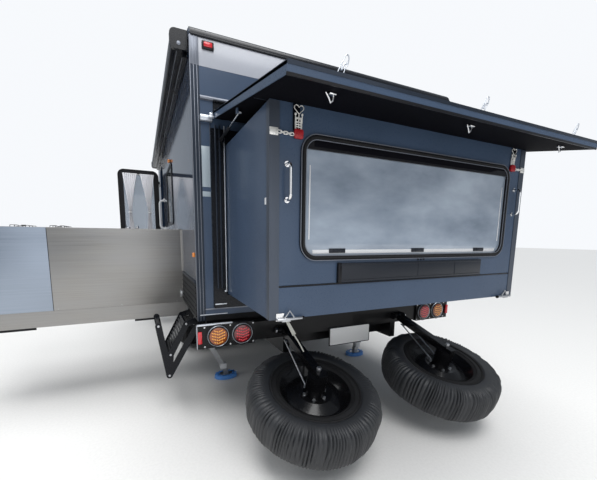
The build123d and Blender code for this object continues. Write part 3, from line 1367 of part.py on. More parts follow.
def stabiliser(side):
    """Drop-down leg with an oval foot."""
    top = (STAB_PIVOT_Y, STAB_PIVOT_Z)
    ankle = (STAB_FOOT_Y, STAB_ANKLE_Z)
    half = STAB_LEG / 2
    leg = bar((STAB_X, *top), (STAB_X, *ankle), STAB_LEG, STAB_LEG)
    leg += rod((STAB_X - half, *top), (STAB_X + half, *top), STAB_EYE_R)
    low = STAB_ANKLE_Z - STAB_ANKLE_DROP
    leg += rod((STAB_X - STAB_ANKLE_HALF, STAB_FOOT_Y, low), (STAB_X + STAB_ANKLE_HALF, STAB_FOOT_Y, low),
               STAB_ANKLE_R)
    base = STAB_FOOT_CLEAR
    leg += Pos(STAB_X, STAB_FOOT_Y, base) * extrude(
        Ellipse(STAB_FOOT_LENGTH / 2, STAB_FOOT_WIDTH / 2), amount=STAB_FOOT_HEIGHT)
    leg += Pos(STAB_X, STAB_FOOT_Y, base + STAB_FOOT_HEIGHT) * extrude(
        Ellipse(STAB_BOSS_LENGTH / 2, STAB_BOSS_WIDTH / 2), amount=STAB_BOSS_HEIGHT)
    leg -= rod((STAB_X - STAB_LEG, *top), (STAB_X + STAB_LEG, *top), STAB_PIN_R + STAB_PIN_PLAY)
    return leg if side > 0 else mirrored(leg)


def stabiliser_bracket():
    """Lugs and pin under the floor's edge that carry one stabiliser."""
    y, z = STAB_PIVOT_Y, STAB_PIVOT_Z
    top = BODY_BOTTOM - STAB_BASE
    lugs = rod((STAB_X - STAB_LUG_X, y, z), (STAB_X + STAB_LUG_X, y, z), STAB_PIN_R)
    for x in (STAB_X - STAB_LUG_X, STAB_X + STAB_LUG_X - STAB_LUG):
        lugs += block(x, x + STAB_LUG, y - STAB_LUG_HALF, y + STAB_LUG_HALF, z - STAB_LUG_DROP, top)
    return lugs + block(STAB_X - STAB_BASE_HALF, STAB_X + STAB_BASE_HALF, y - 2 * STAB_LUG_HALF,
                        y + STAB_LUG_HALF, top, BODY_BOTTOM)


# Folding steps

def folding_step(x, width):
    """Two side plates with a knee, an upper tread inside the knee and a lower one beyond it."""
    knee, tip = (STEP_KNEE_Y, STEP_KNEE_Z), (STEP_TIP_Y, STEP_TIP_Z)
    pivot = (STEP_PIVOT_Y, STEP_PIVOT_Z)
    half, gap = STEP_ARM_HALF, STEP_TREAD_GAP
    inner_top = (pivot[0] + 4 * gap, pivot[1] - gap)
    inner_foot = (knee[0] - gap / 2, knee[1] + 6 * gap)
    frame = None
    for x0 in (x, x + width - STEP_PLATE):
        x1 = x0 + STEP_PLATE
        plate = strip_yz(pivot, knee, half, x0, x1) + strip_yz(knee, tip, half, x0, x1)
        plate += strip_yz(inner_top, inner_foot, half, x0, x1)
        plate += strip_yz(pivot, inner_top, half, x0, x1)
        plate += strip_yz(inner_foot, knee, half, x0, x1)
        for y, z in (pivot, knee, tip, inner_top, inner_foot):
            plate += rod((x0, y, z), (x1, y, z), half)
        frame = plate if frame is None else frame + plate
    frame += strip_yz(inner_top, inner_foot, STEP_TREAD / 2, x, x + width)
    lower = (knee[0] + (tip[0] - knee[0]) * 0.3, knee[1] + (tip[1] - knee[1]) * 0.3)
    frame += strip_yz(lower, tip, STEP_TREAD / 2, x, x + width)
    past = STEP_PIN_PAST + STEP_CHEEK
    return frame + rod((x - past, *pivot), (x + width + past, *pivot), STEP_PIN_R)


def step_brackets():
    """Hinge cheeks under the floor for both steps."""
    y, z = STEP_PIVOT_Y, STEP_PIVOT_Z
    pieces = []
    for step in STEPS.values():
        first = step["x"] - STEP_CHEEK_GAP - STEP_CHEEK
        last = step["x"] + step["width"] + STEP_CHEEK_GAP
        for x0 in (first, last):
            x1 = x0 + STEP_CHEEK
            cheek = block(x0, x1, y - STEP_CHEEK_HALF, y + STEP_CHEEK_HALF, z - STEP_CHEEK_DROP, BODY_BOTTOM)
            pieces.append(cheek - rod((x0 - 1, y, z), (x1 + 1, y, z), STEP_PIN_R + PIN_GAP))
    return pieces


# Front box on the drawbar

def front_lid_knuckles(moving):
    """Y spans of the lid's two hinges: an outer knuckle on the lid, an inner one on the box."""
    spans = []
    for y in (-FRONT_HINGE_Y, FRONT_HINGE_Y):
        spans.append((y, y + FRONT_KNUCKLE) if moving else (y - FRONT_KNUCKLE, y - PIN_GAP))
    return spans


def front_box():
    z0, wall = RAIL_TOP, FRONT_BOX_WALL
    x0, x1 = FRONT_BOX_X, FRONT_BOX_X + FRONT_BOX_LENGTH
    half = FRONT_BOX_HALF
    box = rounded_z(x0, x1, -half, half, z0, FRONT_BOX_TOP, FRONT_BOX_RADIUS)
    box -= rounded_z(x0 + wall, x1 - wall, -half + wall, half - wall, z0 + wall, FRONT_BOX_TOP + 1,
                     FRONT_BOX_RADIUS - wall)
    for y0, y1 in front_lid_knuckles(moving=False):
        box += rod((FRONT_HINGE_X, y0, FRONT_HINGE_Z), (FRONT_HINGE_X, y1, FRONT_HINGE_Z), FRONT_HINGE_R)
        box += block(FRONT_HINGE_X - FRONT_HINGE_R + 1, x0 + 2, y0, y1, FRONT_HINGE_Z - FRONT_LEAF_DROP,
                     FRONT_HINGE_Z - 3)
    return box


def front_box_lid():
    lap, wall, low = FRONT_LID_LAP, FRONT_BOX_WALL, FRONT_HINGE_Z
    x0, x1 = FRONT_BOX_X - lap, FRONT_BOX_X + FRONT_BOX_LENGTH + lap
    half = FRONT_BOX_HALF + lap
    radius = FRONT_BOX_RADIUS + wall
    lid = rounded_z(x0, x1, -half, half, low, FRONT_BOX_TOP + FRONT_LID_RISE, radius)
    lid -= rounded_z(x0 + wall, x1 - wall, -half + wall, half - wall, low - 1,
                     FRONT_BOX_TOP + PIN_GAP, radius - 2)
    for y0, y1 in front_lid_knuckles(moving=True):
        lid += rod((FRONT_HINGE_X, y0, low), (FRONT_HINGE_X, y1, low), FRONT_HINGE_R)
        lid += block(FRONT_HINGE_X - FRONT_HINGE_R, x0 + 1, y0, y1, low, low + FRONT_LEAF_RISE)
    return lid


def water_tanks():
    """Moulded tanks under the floor, between the rails."""
    pieces = []
    for tank in TANKS:
        shape = block(tank["x"], tank["x"] + tank["length"], -TANK_HALF, TANK_HALF,
                      RAIL_TOP - TANK_DROP, BODY_BOTTOM)
        pieces.append(fillet(shape.edges().filter_by(Axis.Y), radius=TANK_RADIUS))
    return solids_of(pieces)


def build_nodes():
    """Every piece by its node's name."""
    ring = body_ring()
    nodes = {
        "chassis_frame": chassis_frame(),
        "rear_beam": rear_beam(),
        "tow_eye": tow_eye(),
        "suspension": suspension(),
        "stabiliser_brackets": solids_of(both(stabiliser_bracket()), step_brackets()),
        "water_tanks": water_tanks(),
        "floor_panel": floor_panel(ring),
        "wall_left": wall_left(),
        "wall_right": wall_right(),
        "wall_rear": wall_rear(ring),
        "wall_front": wall_front(ring),
        "roof_panel": roof_panel(ring),
        "roof_hatch": roof_hatch(),
        "corner_trims": corner_trims(),
        "side_cladding": side_cladding(),
        "wheel_arches": wheel_arches(),
        "side_window_frames": all_side_windows(side_window_frame),
        "side_window_panes": all_side_windows(side_window_pane),
        "awning_cassette": awning(),
        "rear_wall_trims": rear_wall_trims(),
        "rear_lamps": rear_lamps(),
        "kitchen_runners": kitchen_runners(),
        "door_hardware": door_hardware(),
        "front_box": front_box(),
        "front_box_lid": front_box_lid(),
        "slideout_shell": slideout_shell(),
        "slideout_rear_panel": slideout_rear_panel(),
        "slideout_window_frame": slideout_window_frame(),
        "slideout_window_pane": slideout_window_pane(),
        "slideout_corner_angles": slideout_corner_angles(),
        "slideout_fittings": slideout_fittings(),
        "lid_panel": lid_panel(),
        "kitchen_cabinet": kitchen_cabinet(),
        "kitchen_top": kitchen_top(),
        "door_panel": door_panel(),
        "door_pane": door_pane(),
        "door_curtains": door_curtains(),
        "jockey_leg": jockey_leg(),
        "jockey_wheel": jockey_wheel(),
    }
    for name, side in (("left", 1), ("right", -1)):
        nodes["tyre_" + name] = road_tyre(side)
        nodes["rim_" + name] = road_rim(side)
        nodes["spare_carrier_" + name] = spare_carrier(side)
        nodes["spare_cover_" + name] = spare_cover(side)
        nodes["stabiliser_" + name] = stabiliser(side)
        nodes["strut_cylinder_" + name] = strut_cylinder(side)
        nodes["strut_rod_" + name] = strut_rod(side)
    for name, step in STEPS.items():
        nodes[name] = folding_step(step["x"], step["width"])
    return nodes


def main():
    os.makedirs("parts", exist_ok=True)
    to_datum = Pos(-EYE_X, 0, -EYE_Z)
    for name, shape in build_nodes().items():
        export_step(to_datum * shape, "parts/" + name + ".step")


main()
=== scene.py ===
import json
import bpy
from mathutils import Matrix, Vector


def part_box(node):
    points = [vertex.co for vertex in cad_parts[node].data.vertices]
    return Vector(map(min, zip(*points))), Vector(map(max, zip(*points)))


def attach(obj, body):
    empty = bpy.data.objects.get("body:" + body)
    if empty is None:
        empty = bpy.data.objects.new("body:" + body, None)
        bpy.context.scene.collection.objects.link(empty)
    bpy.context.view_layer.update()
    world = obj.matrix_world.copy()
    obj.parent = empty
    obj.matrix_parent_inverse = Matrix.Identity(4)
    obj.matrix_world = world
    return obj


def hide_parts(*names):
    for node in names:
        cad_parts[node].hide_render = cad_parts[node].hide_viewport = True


bl_info = {
    "name": "Camper Trailer",
    "version": (1, 0, 0),
    "blender": (4, 5, 0),
    "location": "View3D > Sidebar > Camper",
    "description": "Finishes, trim, cloth and studio for an off-road camper trailer with a slide-out box",
    "category": "Object",
}

from math import atan2, cos, pi, radians, sin, sqrt

import bmesh
import bpy
from bpy.props import FloatProperty, FloatVectorProperty, IntProperty, PointerProperty
from mathutils import Matrix, Vector

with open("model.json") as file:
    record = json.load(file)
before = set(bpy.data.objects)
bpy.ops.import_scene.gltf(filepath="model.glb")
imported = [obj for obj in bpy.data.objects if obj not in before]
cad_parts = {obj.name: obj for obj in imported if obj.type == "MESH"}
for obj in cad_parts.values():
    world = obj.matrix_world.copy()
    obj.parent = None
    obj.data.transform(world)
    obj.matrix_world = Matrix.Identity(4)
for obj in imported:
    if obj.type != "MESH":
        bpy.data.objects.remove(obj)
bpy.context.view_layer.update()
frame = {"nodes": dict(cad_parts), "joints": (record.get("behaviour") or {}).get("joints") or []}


# Places taken from the frame, in metres

def node_box(node):
    """Lowest and highest corner of a CAD node, as vectors."""
    low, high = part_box(node)
    return Vector(low), Vector(high)


WALL_X = node_box("wall_rear")[0].x
GROUND = node_box("jockey_wheel")[0].z
SIDE_Y = node_box("wall_left")[1].y
BOX_LOW, BOX_HIGH = node_box("slideout_shell")
BOX_FACE = node_box("slideout_rear_panel")[0].x
PANE_LOW, PANE_HIGH = node_box("slideout_window_pane")
FRAME_LOW, FRAME_HIGH = node_box("slideout_window_frame")
LID_HALF = node_box("lid_panel")[1].y
ROOF_TOP = node_box("roof_panel")[1].z
KITCHEN_LOW, KITCHEN_HIGH = node_box("kitchen_cabinet")
KITCHEN_TOP = node_box("kitchen_top")[1].z
DOOR_LOW, DOOR_HIGH = node_box("door_panel")
CURTAIN_LOW, CURTAIN_HIGH = node_box("door_curtains")
LAMP_LOW, LAMP_HIGH = node_box("rear_lamps")
AWNING_LOW, AWNING_HIGH = node_box("awning_cassette")

REAR_FOOT = Vector((WALL_X, 0, GROUND))
BOX_FOOT = Vector((BOX_FACE, 0, GROUND))
ACROSS = Vector((0, 1, 0))
UP = Vector((0, 0, 1))
BACKWARD = Vector((-1, 0, 0))
FRAME_ORIGIN = Vector((0, 0, 0))


def joint_named(name):
    """One joint of the frame."""
    return next(joint for joint in frame["joints"] if joint["name"] == name)


def at(x, y, z):
    """A point measured from the rear wall's face, the centreline and the ground."""
    return REAR_FOOT + Vector((x, y, z))


def on_box(x, y, z):
    """A point measured from the slide-out box's rear face, the centreline and the ground."""
    return BOX_FOOT + Vector((x, y, z))


def shifted(origin, points):
    """Points measured from an origin."""
    return [origin + Vector(point) for point in points]


# Finishes: record slot, colour, roughness, metallic, colour spread, grain per metre (one number or along
# X, Y and Z), bump in millimetres, coat, strength of the mirror image
FINISH_COLUMNS = ("slot", "colour", "roughness", "metallic", "spread", "grain", "bump", "coat", "mirror")
FINISH_TABLE = {
    "slate_panel": ("slate", (0.050, 0.077, 0.128), 0.30, 0.0, 0.05, 260, 0.03, 0.12, 0.25),
    "slate_gloss": ("gloss_slate", (0.020, 0.036, 0.072), 0.08, 0.0, 0.04, 14, 0.02, 0.40, 0.35),
    "light_band": ("white_metal", (0.420, 0.435, 0.480), 0.30, 0.0, 0.03, 200, 0.01, 0.10, 0.5),
    "light_strip": ("white_metal", (0.345, 0.405, 0.450), 0.30, 0.0, 0.03, 200, 0.01, 0.10, 0.5),
    "roof_skin": ("roof_white", (0.720, 0.730, 0.740), 0.34, 0.0, 0.03, 160, 0.03, 0.20, 0.5),
    "hatch_skin": ("hatch_plastic", (0.620, 0.630, 0.640), 0.42, 0.0, 0.03, 300, 0.02, 0.0, 0.5),
    "dark_trim": ("bare_aluminium", (0.022, 0.030, 0.045), 0.34, 0.50, 0.05, (90, 90, 3), 0.02, 0.10, 0.3),
    "pale_trim": ("bare_aluminium", (0.190, 0.205, 0.240), 0.38, 0.55, 0.05, (90, 90, 5), 0.02, 0.0, 0.5),
    "bright_trim": ("bare_aluminium", (0.620, 0.650, 0.700), 0.32, 0.60, 0.05, (60, 60, 5), 0.02, 0.0, 0.5),
    "black_sheet": ("black_cladding", (0.012, 0.013, 0.015), 0.46, 0.1, 0.1, 420, 0.12, 0.0, 0.2),
    "black_coat": ("black_steel", (0.008, 0.008, 0.009), 0.36, 0.2, 0.12, 520, 0.08, 0.10, 0.2),
    "black_rail": ("black_aluminium", (0.004, 0.005, 0.008), 0.26, 0.1, 0.06, (3, 160, 160), 0.01, 0.04,
                   0.25),
    "black_mould": ("black_frame", (0.008, 0.008, 0.010), 0.30, 0.0, 0.10, 600, 0.06, 0.0, 0.2),
    # Painted shade: a black for sheets that stand in for shade under the lid, behind the toggle hearts and
    # over the pane's head
    "painted_shade_black": ("black_frame", (0.004, 0.004, 0.006), 0.75, 0.0, 0.10, 300, 0.06, 0.0, 0.03),
    "grey_mould": ("grey_frame", (0.016, 0.019, 0.026), 0.34, 0.0, 0.06, 600, 0.04, 0.0, 0.25),
    "under_board": ("underfloor", (0.050, 0.050, 0.054), 0.80, 0.0, 0.12, 90, 0.30, 0.0, 0.2),
    "tank_mould": ("tank_plastic", (0.060, 0.060, 0.062), 0.55, 0.0, 0.08, 240, 0.20, 0.0, 0.3),
    "zinc_plate": ("zinc_steel", (0.480, 0.490, 0.510), 0.34, 0.95, 0.14, 34, 0.03, 0.0, 0.5),
    "chrome_plate": ("bright_steel", (0.740, 0.740, 0.750), 0.12, 1.0, 0.03, 60, 0.01, 0.0, 0.5),
    "white_paint": ("white_metal", (0.700, 0.705, 0.720), 0.28, 0.0, 0.03, 300, 0.02, 0.20, 0.5),
    "wheel_paint": ("black_wheel", (0.006, 0.006, 0.007), 0.26, 0.3, 0.10, 400, 0.04, 0.20, 0.3),
    "soft_rubber": ("jockey_rubber", (0.014, 0.014, 0.015), 0.72, 0.0, 0.14, 320, 0.15, 0.0, 0.25),
    "tyre_rubber": ("tyre", (0.012, 0.012, 0.013), 0.70, 0.0, 0.20, 240, 0.25, 0.0, 0.25),
    "angle_trim": ("bare_aluminium", (0.070, 0.083, 0.108), 0.34, 0.40, 0.05, (90, 90, 3), 0.02, 0.0, 0.3),
    "pale_strap": ("white_metal", (0.330, 0.330, 0.300), 0.60, 0.0, 0.20, 300, 0.08, 0.0, 0.3),
    "bright_link": ("bare_aluminium", (0.800, 0.790, 0.760), 0.30, 0.30, 0.05, 60, 0.02, 0.0, 0.5),
    "red_grip": ("lamp_lens", (0.330, 0.009, 0.015), 0.40, 0.0, 0.06, 300, 0.05, 0.0, 0.5),
    "red_lens": ("lamp_lens", (0.620, 0.020, 0.030), 0.16, 0.0, 0.12, 140, 0.05, 0.50, 0.5),
    "red_glow": ("lamp_lens", (0.900, 0.060, 0.080), 0.20, 0.0, 0.08, 140, 0.03, 0.40, 0.5),
    "red_depth": ("lamp_lens", (0.170, 0.008, 0.012), 0.16, 0.0, 0.12, 140, 0.05, 0.60, 0.5),
    "amber_lens": ("lamp_lens", (0.800, 0.250, 0.030), 0.16, 0.0, 0.12, 140, 0.05, 0.50, 0.5),
    "amber_glow": ("lamp_lens", (0.950, 0.400, 0.070), 0.20, 0.0, 0.08, 140, 0.03, 0.40, 0.5),
    "amber_depth": ("lamp_lens", (0.260, 0.060, 0.010), 0.16, 0.0, 0.12, 140, 0.05, 0.60, 0.5),
    "blue_foot": ("white_metal", (0.090, 0.300, 0.760), 0.38, 0.0, 0.10, 120, 0.08, 0.10, 0.5),
    "grey_pad": ("hatch_plastic", (0.055, 0.057, 0.060), 0.75, 0.0, 0.12, 260, 0.25, 0.0, 0.3),
    "plate_face": ("white_metal", (0.880, 0.880, 0.870), 0.30, 0.0, 0.02, 900, 0.02, 0.10, 0.5),
}


class NodeGraph:
    """A short way to write the nodes of one material."""

    def __init__(self, name):
        self.material = bpy.data.materials.new(name)
        self.material.use_nodes = True
        self.tree = self.material.node_tree
        self.shader = self.tree.nodes["Principled BSDF"]
        self.place = self.add("ShaderNodeTexCoord").outputs["Object"]

    def add(self, kind, **settings):
        made = self.tree.nodes.new(kind)
        for key, value in settings.items():
            setattr(made, key, value)
        return made

    def join(self, source, target):
        self.tree.links.new(source, target)

    def scaled(self, scale):
        """Object coordinates stretched by a scale per metre, one number or along X, Y and Z."""
        mapping = self.add("ShaderNodeMapping")
        mapping.inputs["Scale"].default_value = scale if isinstance(scale, tuple) else (scale,) * 3
        self.join(self.place, mapping.inputs["Vector"])
        return mapping.outputs["Vector"]

    def noise(self, scale, detail=3.0):
        noise = self.add("ShaderNodeTexNoise")
        noise.inputs["Scale"].default_value = 1.0
        noise.inputs["Detail"].default_value = detail
        self.join(self.scaled(scale), noise.inputs["Vector"])
        return noise.outputs["Fac"]

    def ranged(self, value, low, high):
        """A 0 to 1 value spread from low to high."""
        mapped = self.add("ShaderNodeMapRange")
        mapped.inputs["From Min"].default_value = 0.3
        mapped.inputs["From Max"].default_value = 0.7
        mapped.inputs["To Min"].default_value = low
        mapped.inputs["To Max"].default_value = high
        self.join(value, mapped.inputs["Value"])
        return mapped.outputs["Result"]

    def blend(self, value, first, second):
        """A colour between two, by a 0 to 1 value."""
        mixed = self.add("ShaderNodeMix", data_type="RGBA")
        self.join(value, mixed.inputs["Factor"])
        for socket, colour in ((mixed.inputs[6], first), (mixed.inputs[7], second)):
            if isinstance(colour, bpy.types.NodeSocket):
                self.join(colour, socket)
            else:
                socket.default_value = (*colour, 1.0)
        return mixed.outputs[2]

    def cloudy(self, value, colour, spread):
        """A colour made a little darker and lighter by a 0 to 1 value."""
        return self.blend(value, scaled_colour(colour, 1 - spread), scaled_colour(colour, 1 + spread))

    def bump(self, height, millimetres):
        bump = self.add("ShaderNodeBump")
        bump.inputs["Strength"].default_value = 0.6
        bump.inputs["Distance"].default_value = millimetres / 1000
        self.join(height, bump.inputs["Height"])
        self.join(bump.outputs["Normal"], self.shader.inputs["Normal"])

    def set(self, **values):
        """Plain values on the shader's own sockets."""
        for name, value in values.items():
            self.shader.inputs[name.replace("_", " ")].default_value = value


def scaled_colour(colour, factor):
    return tuple(min(1.0, channel * factor) for channel in colour)


def table_finish(name):
    """A hard finish from the table: cloudy colour, uneven gloss and a fine grain."""
    row = dict(zip(FINISH_COLUMNS, FINISH_TABLE[name]))
    graph = NodeGraph(name)
    cloud = graph.noise(4.0, 5.0)
    grain = graph.noise(row["grain"])
    colour = graph.cloudy(graph.ranged(cloud, 0.0, 1.0), row["colour"], row["spread"])
    graph.join(colour, graph.shader.inputs["Base Color"])
    rough = row["roughness"]
    graph.join(graph.ranged(grain, rough * 0.85, rough * 1.15), graph.shader.inputs["Roughness"])
    graph.bump(grain, row["bump"])
    graph.set(Metallic=row["metallic"], Coat_Weight=row["coat"], Coat_Roughness=0.08,
              Specular_IOR_Level=row["mirror"])
    return graph.material


def brushed_sheet(name, dark, light, smudged):
    """Stainless sheet brushed lengthwise, with faint smudges."""
    graph = NodeGraph(name)
    streak = graph.noise((3.0, 2.0, 420.0), 4.0)
    smudge = graph.noise((5.0, 3.0, 9.0), 4.0)
    base = graph.blend(graph.ranged(streak, 0.0, 1.0), dark, light)
    tone = graph.blend(graph.ranged(smudge, 0.0, 0.5), base, smudged)
    graph.join(tone, graph.shader.inputs["Base Color"])
    graph.join(graph.ranged(streak, 0.34, 0.50), graph.shader.inputs["Roughness"])
    graph.bump(streak, 0.02)
    graph.set(Metallic=0.85, Anisotropic=0.4)
    return graph.material


def brushed_steel():
    """The kitchen's inner panels and its worktop."""
    return brushed_sheet("brushed_steel", (0.30, 0.288, 0.272), (0.40, 0.387, 0.368),
                         (0.35, 0.35, 0.355))


def steel_with_painted_sky():
    """The outer panels, with a painted reflection of blue sky in their colour."""
    return brushed_sheet("steel_with_painted_sky", (0.29, 0.34, 0.41), (0.39, 0.44, 0.52), (0.35, 0.40, 0.48))


def mirror_glass(name, clouds, detail, dark, light, index):
    """Glossy acrylic that nothing shows through, with a painted reflection of soft clouds in its tint."""
    graph = NodeGraph(name)
    cloud = graph.noise(clouds, detail)
    tint = graph.blend(graph.ranged(cloud, 0.0, 1.0), dark, light)
    graph.join(tint, graph.shader.inputs["Base Color"])
    graph.set(Roughness=0.03, IOR=index, Coat_Weight=0.8, Coat_Roughness=0.02)
    return graph.material


def tinted_glass():
    """The dark grey side windows, with a faint painted reflection of clouds."""
    return mirror_glass("tinted_glass", (1.6, 1.6, 2.6), 2.0, (0.030, 0.040, 0.058),
                        (0.060, 0.076, 0.100), 1.8)


def glass_with_painted_sky():
    """The rear pane, with a painted reflection of a cloudy sky in its colour."""
    return mirror_glass("glass_with_painted_sky", (1.0, 2.2, 5.0), 6.0, (0.150, 0.190, 0.250),
                        (0.380, 0.440, 0.520), 1.9)


def door_glass():
    """The door's pane, seen through."""
    graph = NodeGraph("door_glass")
    graph.set(Base_Color=(0.300, 0.340, 0.390, 1.0), Roughness=0.02, IOR=1.45, Transmission_Weight=0.85)
    return graph.material


def woven_cloth(name, colour, threads, spread, sheen, bump):
    """A plain weave: two crossed sets of threads over a cloudy colour."""
    graph = NodeGraph(name)
    heights = []
    for direction in ("X", "Z"):
        wave = graph.add("ShaderNodeTexWave", bands_direction=direction)
        wave.inputs["Scale"].default_value = 1.0
        wave.inputs["Distortion"].default_value = 0.8
        graph.join(graph.scaled(threads), wave.inputs["Vector"])
        heights.append(wave.outputs["Fac"])
    weave = graph.add("ShaderNodeMath", operation="MULTIPLY")
    graph.join(heights[0], weave.inputs[0])
    graph.join(heights[1], weave.inputs[1])
    cloud = graph.ranged(graph.noise(9.0, 5.0), 0.0, 1.0)
    base = graph.cloudy(cloud, colour, spread)
    toned = graph.blend(weave.outputs[0], scaled_colour(colour, 1 - 2 * spread), base)
    graph.join(toned, graph.shader.inputs["Base Color"])
    graph.bump(weave.outputs[0], bump)
    graph.set(Roughness=0.52, Sheen_Weight=sheen, Sheen_Roughness=0.4)
    return graph.material


def cover_cloth():
    colour = tuple(bpy.context.scene.camper_colours.cover)
    return woven_cloth("cover_cloth", colour, 420.0, 0.16, 0.0, 0.10)


def curtain_cloth():
    colour = tuple(bpy.context.scene.camper_colours.curtain)
    return woven_cloth("curtain_cloth", colour, 900.0, 0.04, 0.15, 0.06)


SPECIAL_FINISHES = {
    "brushed_steel": ("kitchen_steel", brushed_steel),
    "steel_with_painted_sky": ("kitchen_steel", steel_with_painted_sky),
    "tinted_glass": ("tinted_glass", tinted_glass),
    "glass_with_painted_sky": ("tinted_glass", glass_with_painted_sky),
    "door_glass": ("tinted_glass", door_glass),
    "cover_cloth": ("cover_fabric", cover_cloth),
    "curtain_cloth": ("curtain", curtain_cloth),
}


def finish_material(name):
    """The material of a finish, made once."""
    made = bpy.data.materials.get(name)
    if made:
        return made
    if name in SPECIAL_FINISHES:
        return SPECIAL_FINISHES[name][1]()
    return table_finish(name)


# Mesh building with bmesh operators

def soften(bm, edges, width):
    """Round edges off."""
    if width > 0:
        bmesh.ops.bevel(bm, geom=edges, offset=width, offset_type="OFFSET", segments=2, profile=0.5,
                        affect="EDGES", clamp_overlap=True, material=-1)


def pour_into(bm, part):
    """Move the shapes of one mesh into another."""
    carrier = bpy.data.meshes.new("carrier")
    part.to_mesh(carrier)
    part.free()
    bm.from_mesh(carrier)
    bpy.data.meshes.remove(carrier)


def merge_into(bm, part):
    """Add a closed shape to a mesh, facing outward."""
    bmesh.ops.recalc_face_normals(part, faces=part.faces[:])
    pour_into(bm, part)


def mirror_mesh(bm):
    """Add the same shapes on the right side."""
    part = bm.copy()
    bmesh.ops.scale(part, vec=(1, -1, 1), verts=part.verts[:])
    bmesh.ops.reverse_faces(part, faces=part.faces[:])
    pour_into(bm, part)


def squeeze(bm, factors, centre):
    """Scale a whole mesh about a centre."""
    bmesh.ops.scale(bm, vec=factors, space=Matrix.Translation(-centre), verts=bm.verts[:])


def add_block(bm, low, high, bevel=0.001, turn=None):
    """A block between two corners with softened edges, turned by a matrix."""
    part = bmesh.new()
    low, high = Vector(low), Vector(high)
    made = bmesh.ops.create_cube(part, size=1.0)["verts"]
    bmesh.ops.scale(part, vec=high - low, verts=made)
    bmesh.ops.translate(part, vec=(low + high) / 2, verts=made)
    soften(part, part.edges[:], bevel)
    if turn is not None:
        bmesh.ops.transform(part, matrix=turn, verts=part.verts[:])
    merge_into(bm, part)


def aimed(place, axis):
    """A matrix at a place with its Z along an axis."""
    return Matrix.Translation(place) @ axis.to_track_quat("Z", "Y").to_matrix().to_4x4()


def add_rod(bm, start, end, radius, sides=24, bevel=0.0):
    """A round bar between two points."""
    part = bmesh.new()
    start, end = Vector(start), Vector(end)
    bmesh.ops.create_cone(part, cap_ends=True, cap_tris=False, segments=sides, radius1=radius,
                          radius2=radius, depth=(end - start).length)
    if bevel:
        rims = [edge for edge in part.edges if abs(edge.verts[0].co.z - edge.verts[1].co.z) < 1e-6]
        soften(part, rims, bevel)
    bmesh.ops.transform(part, matrix=aimed((start + end) / 2, end - start), verts=part.verts[:])
    merge_into(bm, part)


def add_turned(bm, section, origin, axis, steps=64, closed=True):
    """A section of (radius, height) points spun about an axis."""
    part = bmesh.new()
    axis = Vector(axis).normalized()
    out = axis.orthogonal().normalized()
    verts = [part.verts.new(out * radius + axis * height) for radius, height in section]
    pairs = list(zip(verts, verts[1:]))
    if closed:
        pairs.append((verts[-1], verts[0]))
    edges = [part.edges.new(pair) for pair in pairs]
    bmesh.ops.spin(part, geom=verts + edges, cent=(0, 0, 0), axis=axis, dvec=(0, 0, 0), angle=2 * pi,
                   steps=steps, use_merge=True, use_duplicate=False)
    bmesh.ops.remove_doubles(part, verts=part.verts[:], dist=1e-6)
    bmesh.ops.translate(part, vec=Vector(origin), verts=part.verts[:])
    merge_into(bm, part)


def rounded_outline(centre, up, width, height, radius, steps=6):
    """Points of a rounded rectangle across the trailer and along an up direction."""
    centre, up = Vector(centre), Vector(up)
    points = []
    for quarter, (sx, sy) in enumerate(((1, 1), (-1, 1), (-1, -1), (1, -1))):
        middle = centre + ACROSS * sx * (width / 2 - radius) + up * sy * (height / 2 - radius)
        for step in range(steps + 1):
            angle = (quarter + step / steps) * pi / 2
            points.append(middle + ACROSS * radius * cos(angle) + up * radius * sin(angle))
    return points


def moved_out(part, made, depth):
    """Move the new vertices of an extruded region by a depth vector."""
    far = [item for item in made["geom"] if isinstance(item, bmesh.types.BMVert)]
    bmesh.ops.translate(part, vec=Vector(depth), verts=far)


def add_plate(bm, outline, depth, bevel=0.0):
    """A flat plate from an outline, as thick as the depth vector."""
    part = bmesh.new()
    face = part.faces.new([part.verts.new(point) for point in outline])
    moved_out(part, bmesh.ops.extrude_face_region(part, geom=[face]), depth)
    if bevel:
        flat = Vector(depth).normalized()
        rims = [edge for edge in part.edges
                if abs((edge.verts[0].co - edge.verts[1].co).normalized().dot(flat)) < 0.5]
        soften(part, rims, bevel)
    merge_into(bm, part)


def add_panel(bm, centre, size, depth, bevel, steps=6):
    """A plate facing backward, its size being width, height and corner radius."""
    add_plate(bm, rounded_outline(centre, UP, *size, steps), BACKWARD * depth, bevel)


def add_border(bm, centre, outer, inner, depth, bevel, steps=6):
    """A flat ring facing backward between two such sizes."""
    part = bmesh.new()
    edges = []
    for size in (outer, inner):
        verts = [part.verts.new(point) for point in rounded_outline(centre, UP, *size, steps)]
        edges += [part.edges.new(pair) for pair in zip(verts, verts[1:] + verts[:1])]
    faces = bmesh.ops.bridge_loops(part, edges=edges)["faces"]
    moved_out(part, bmesh.ops.extrude_face_region(part, geom=faces), BACKWARD * depth)
    sharp = [edge for edge in part.edges if edge.calc_face_angle(0.0) > radians(60)]
    soften(part, sharp, bevel)
    merge_into(bm, part)


def add_wire(bm, points, radius, closed=False, smooth=False):
    """A bent round wire through points."""
    curve = bpy.data.curves.new("wire", "CURVE")
    curve.dimensions = "3D"
    curve.bevel_depth = radius
    curve.bevel_resolution = 3
    curve.resolution_u = 8
    curve.use_fill_caps = True
    spline = curve.splines.new("BEZIER" if smooth else "POLY")
    handles = spline.bezier_points if smooth else spline.points
    handles.add(len(points) - 1)
    for item, point in zip(handles, points):
        if smooth:
            item.co = Vector(point)
            item.handle_left_type = "AUTO"
            item.handle_right_type = "AUTO"
        else:
            item.co = (*point, 1.0)
    spline.use_cyclic_u = closed
    holder = bpy.data.objects.new("wire", curve)
    mesh = bpy.data.meshes.new_from_object(holder)
    bm.from_mesh(mesh)
    bpy.data.objects.remove(holder)
    bpy.data.meshes.remove(mesh)
    bpy.data.curves.remove(curve)


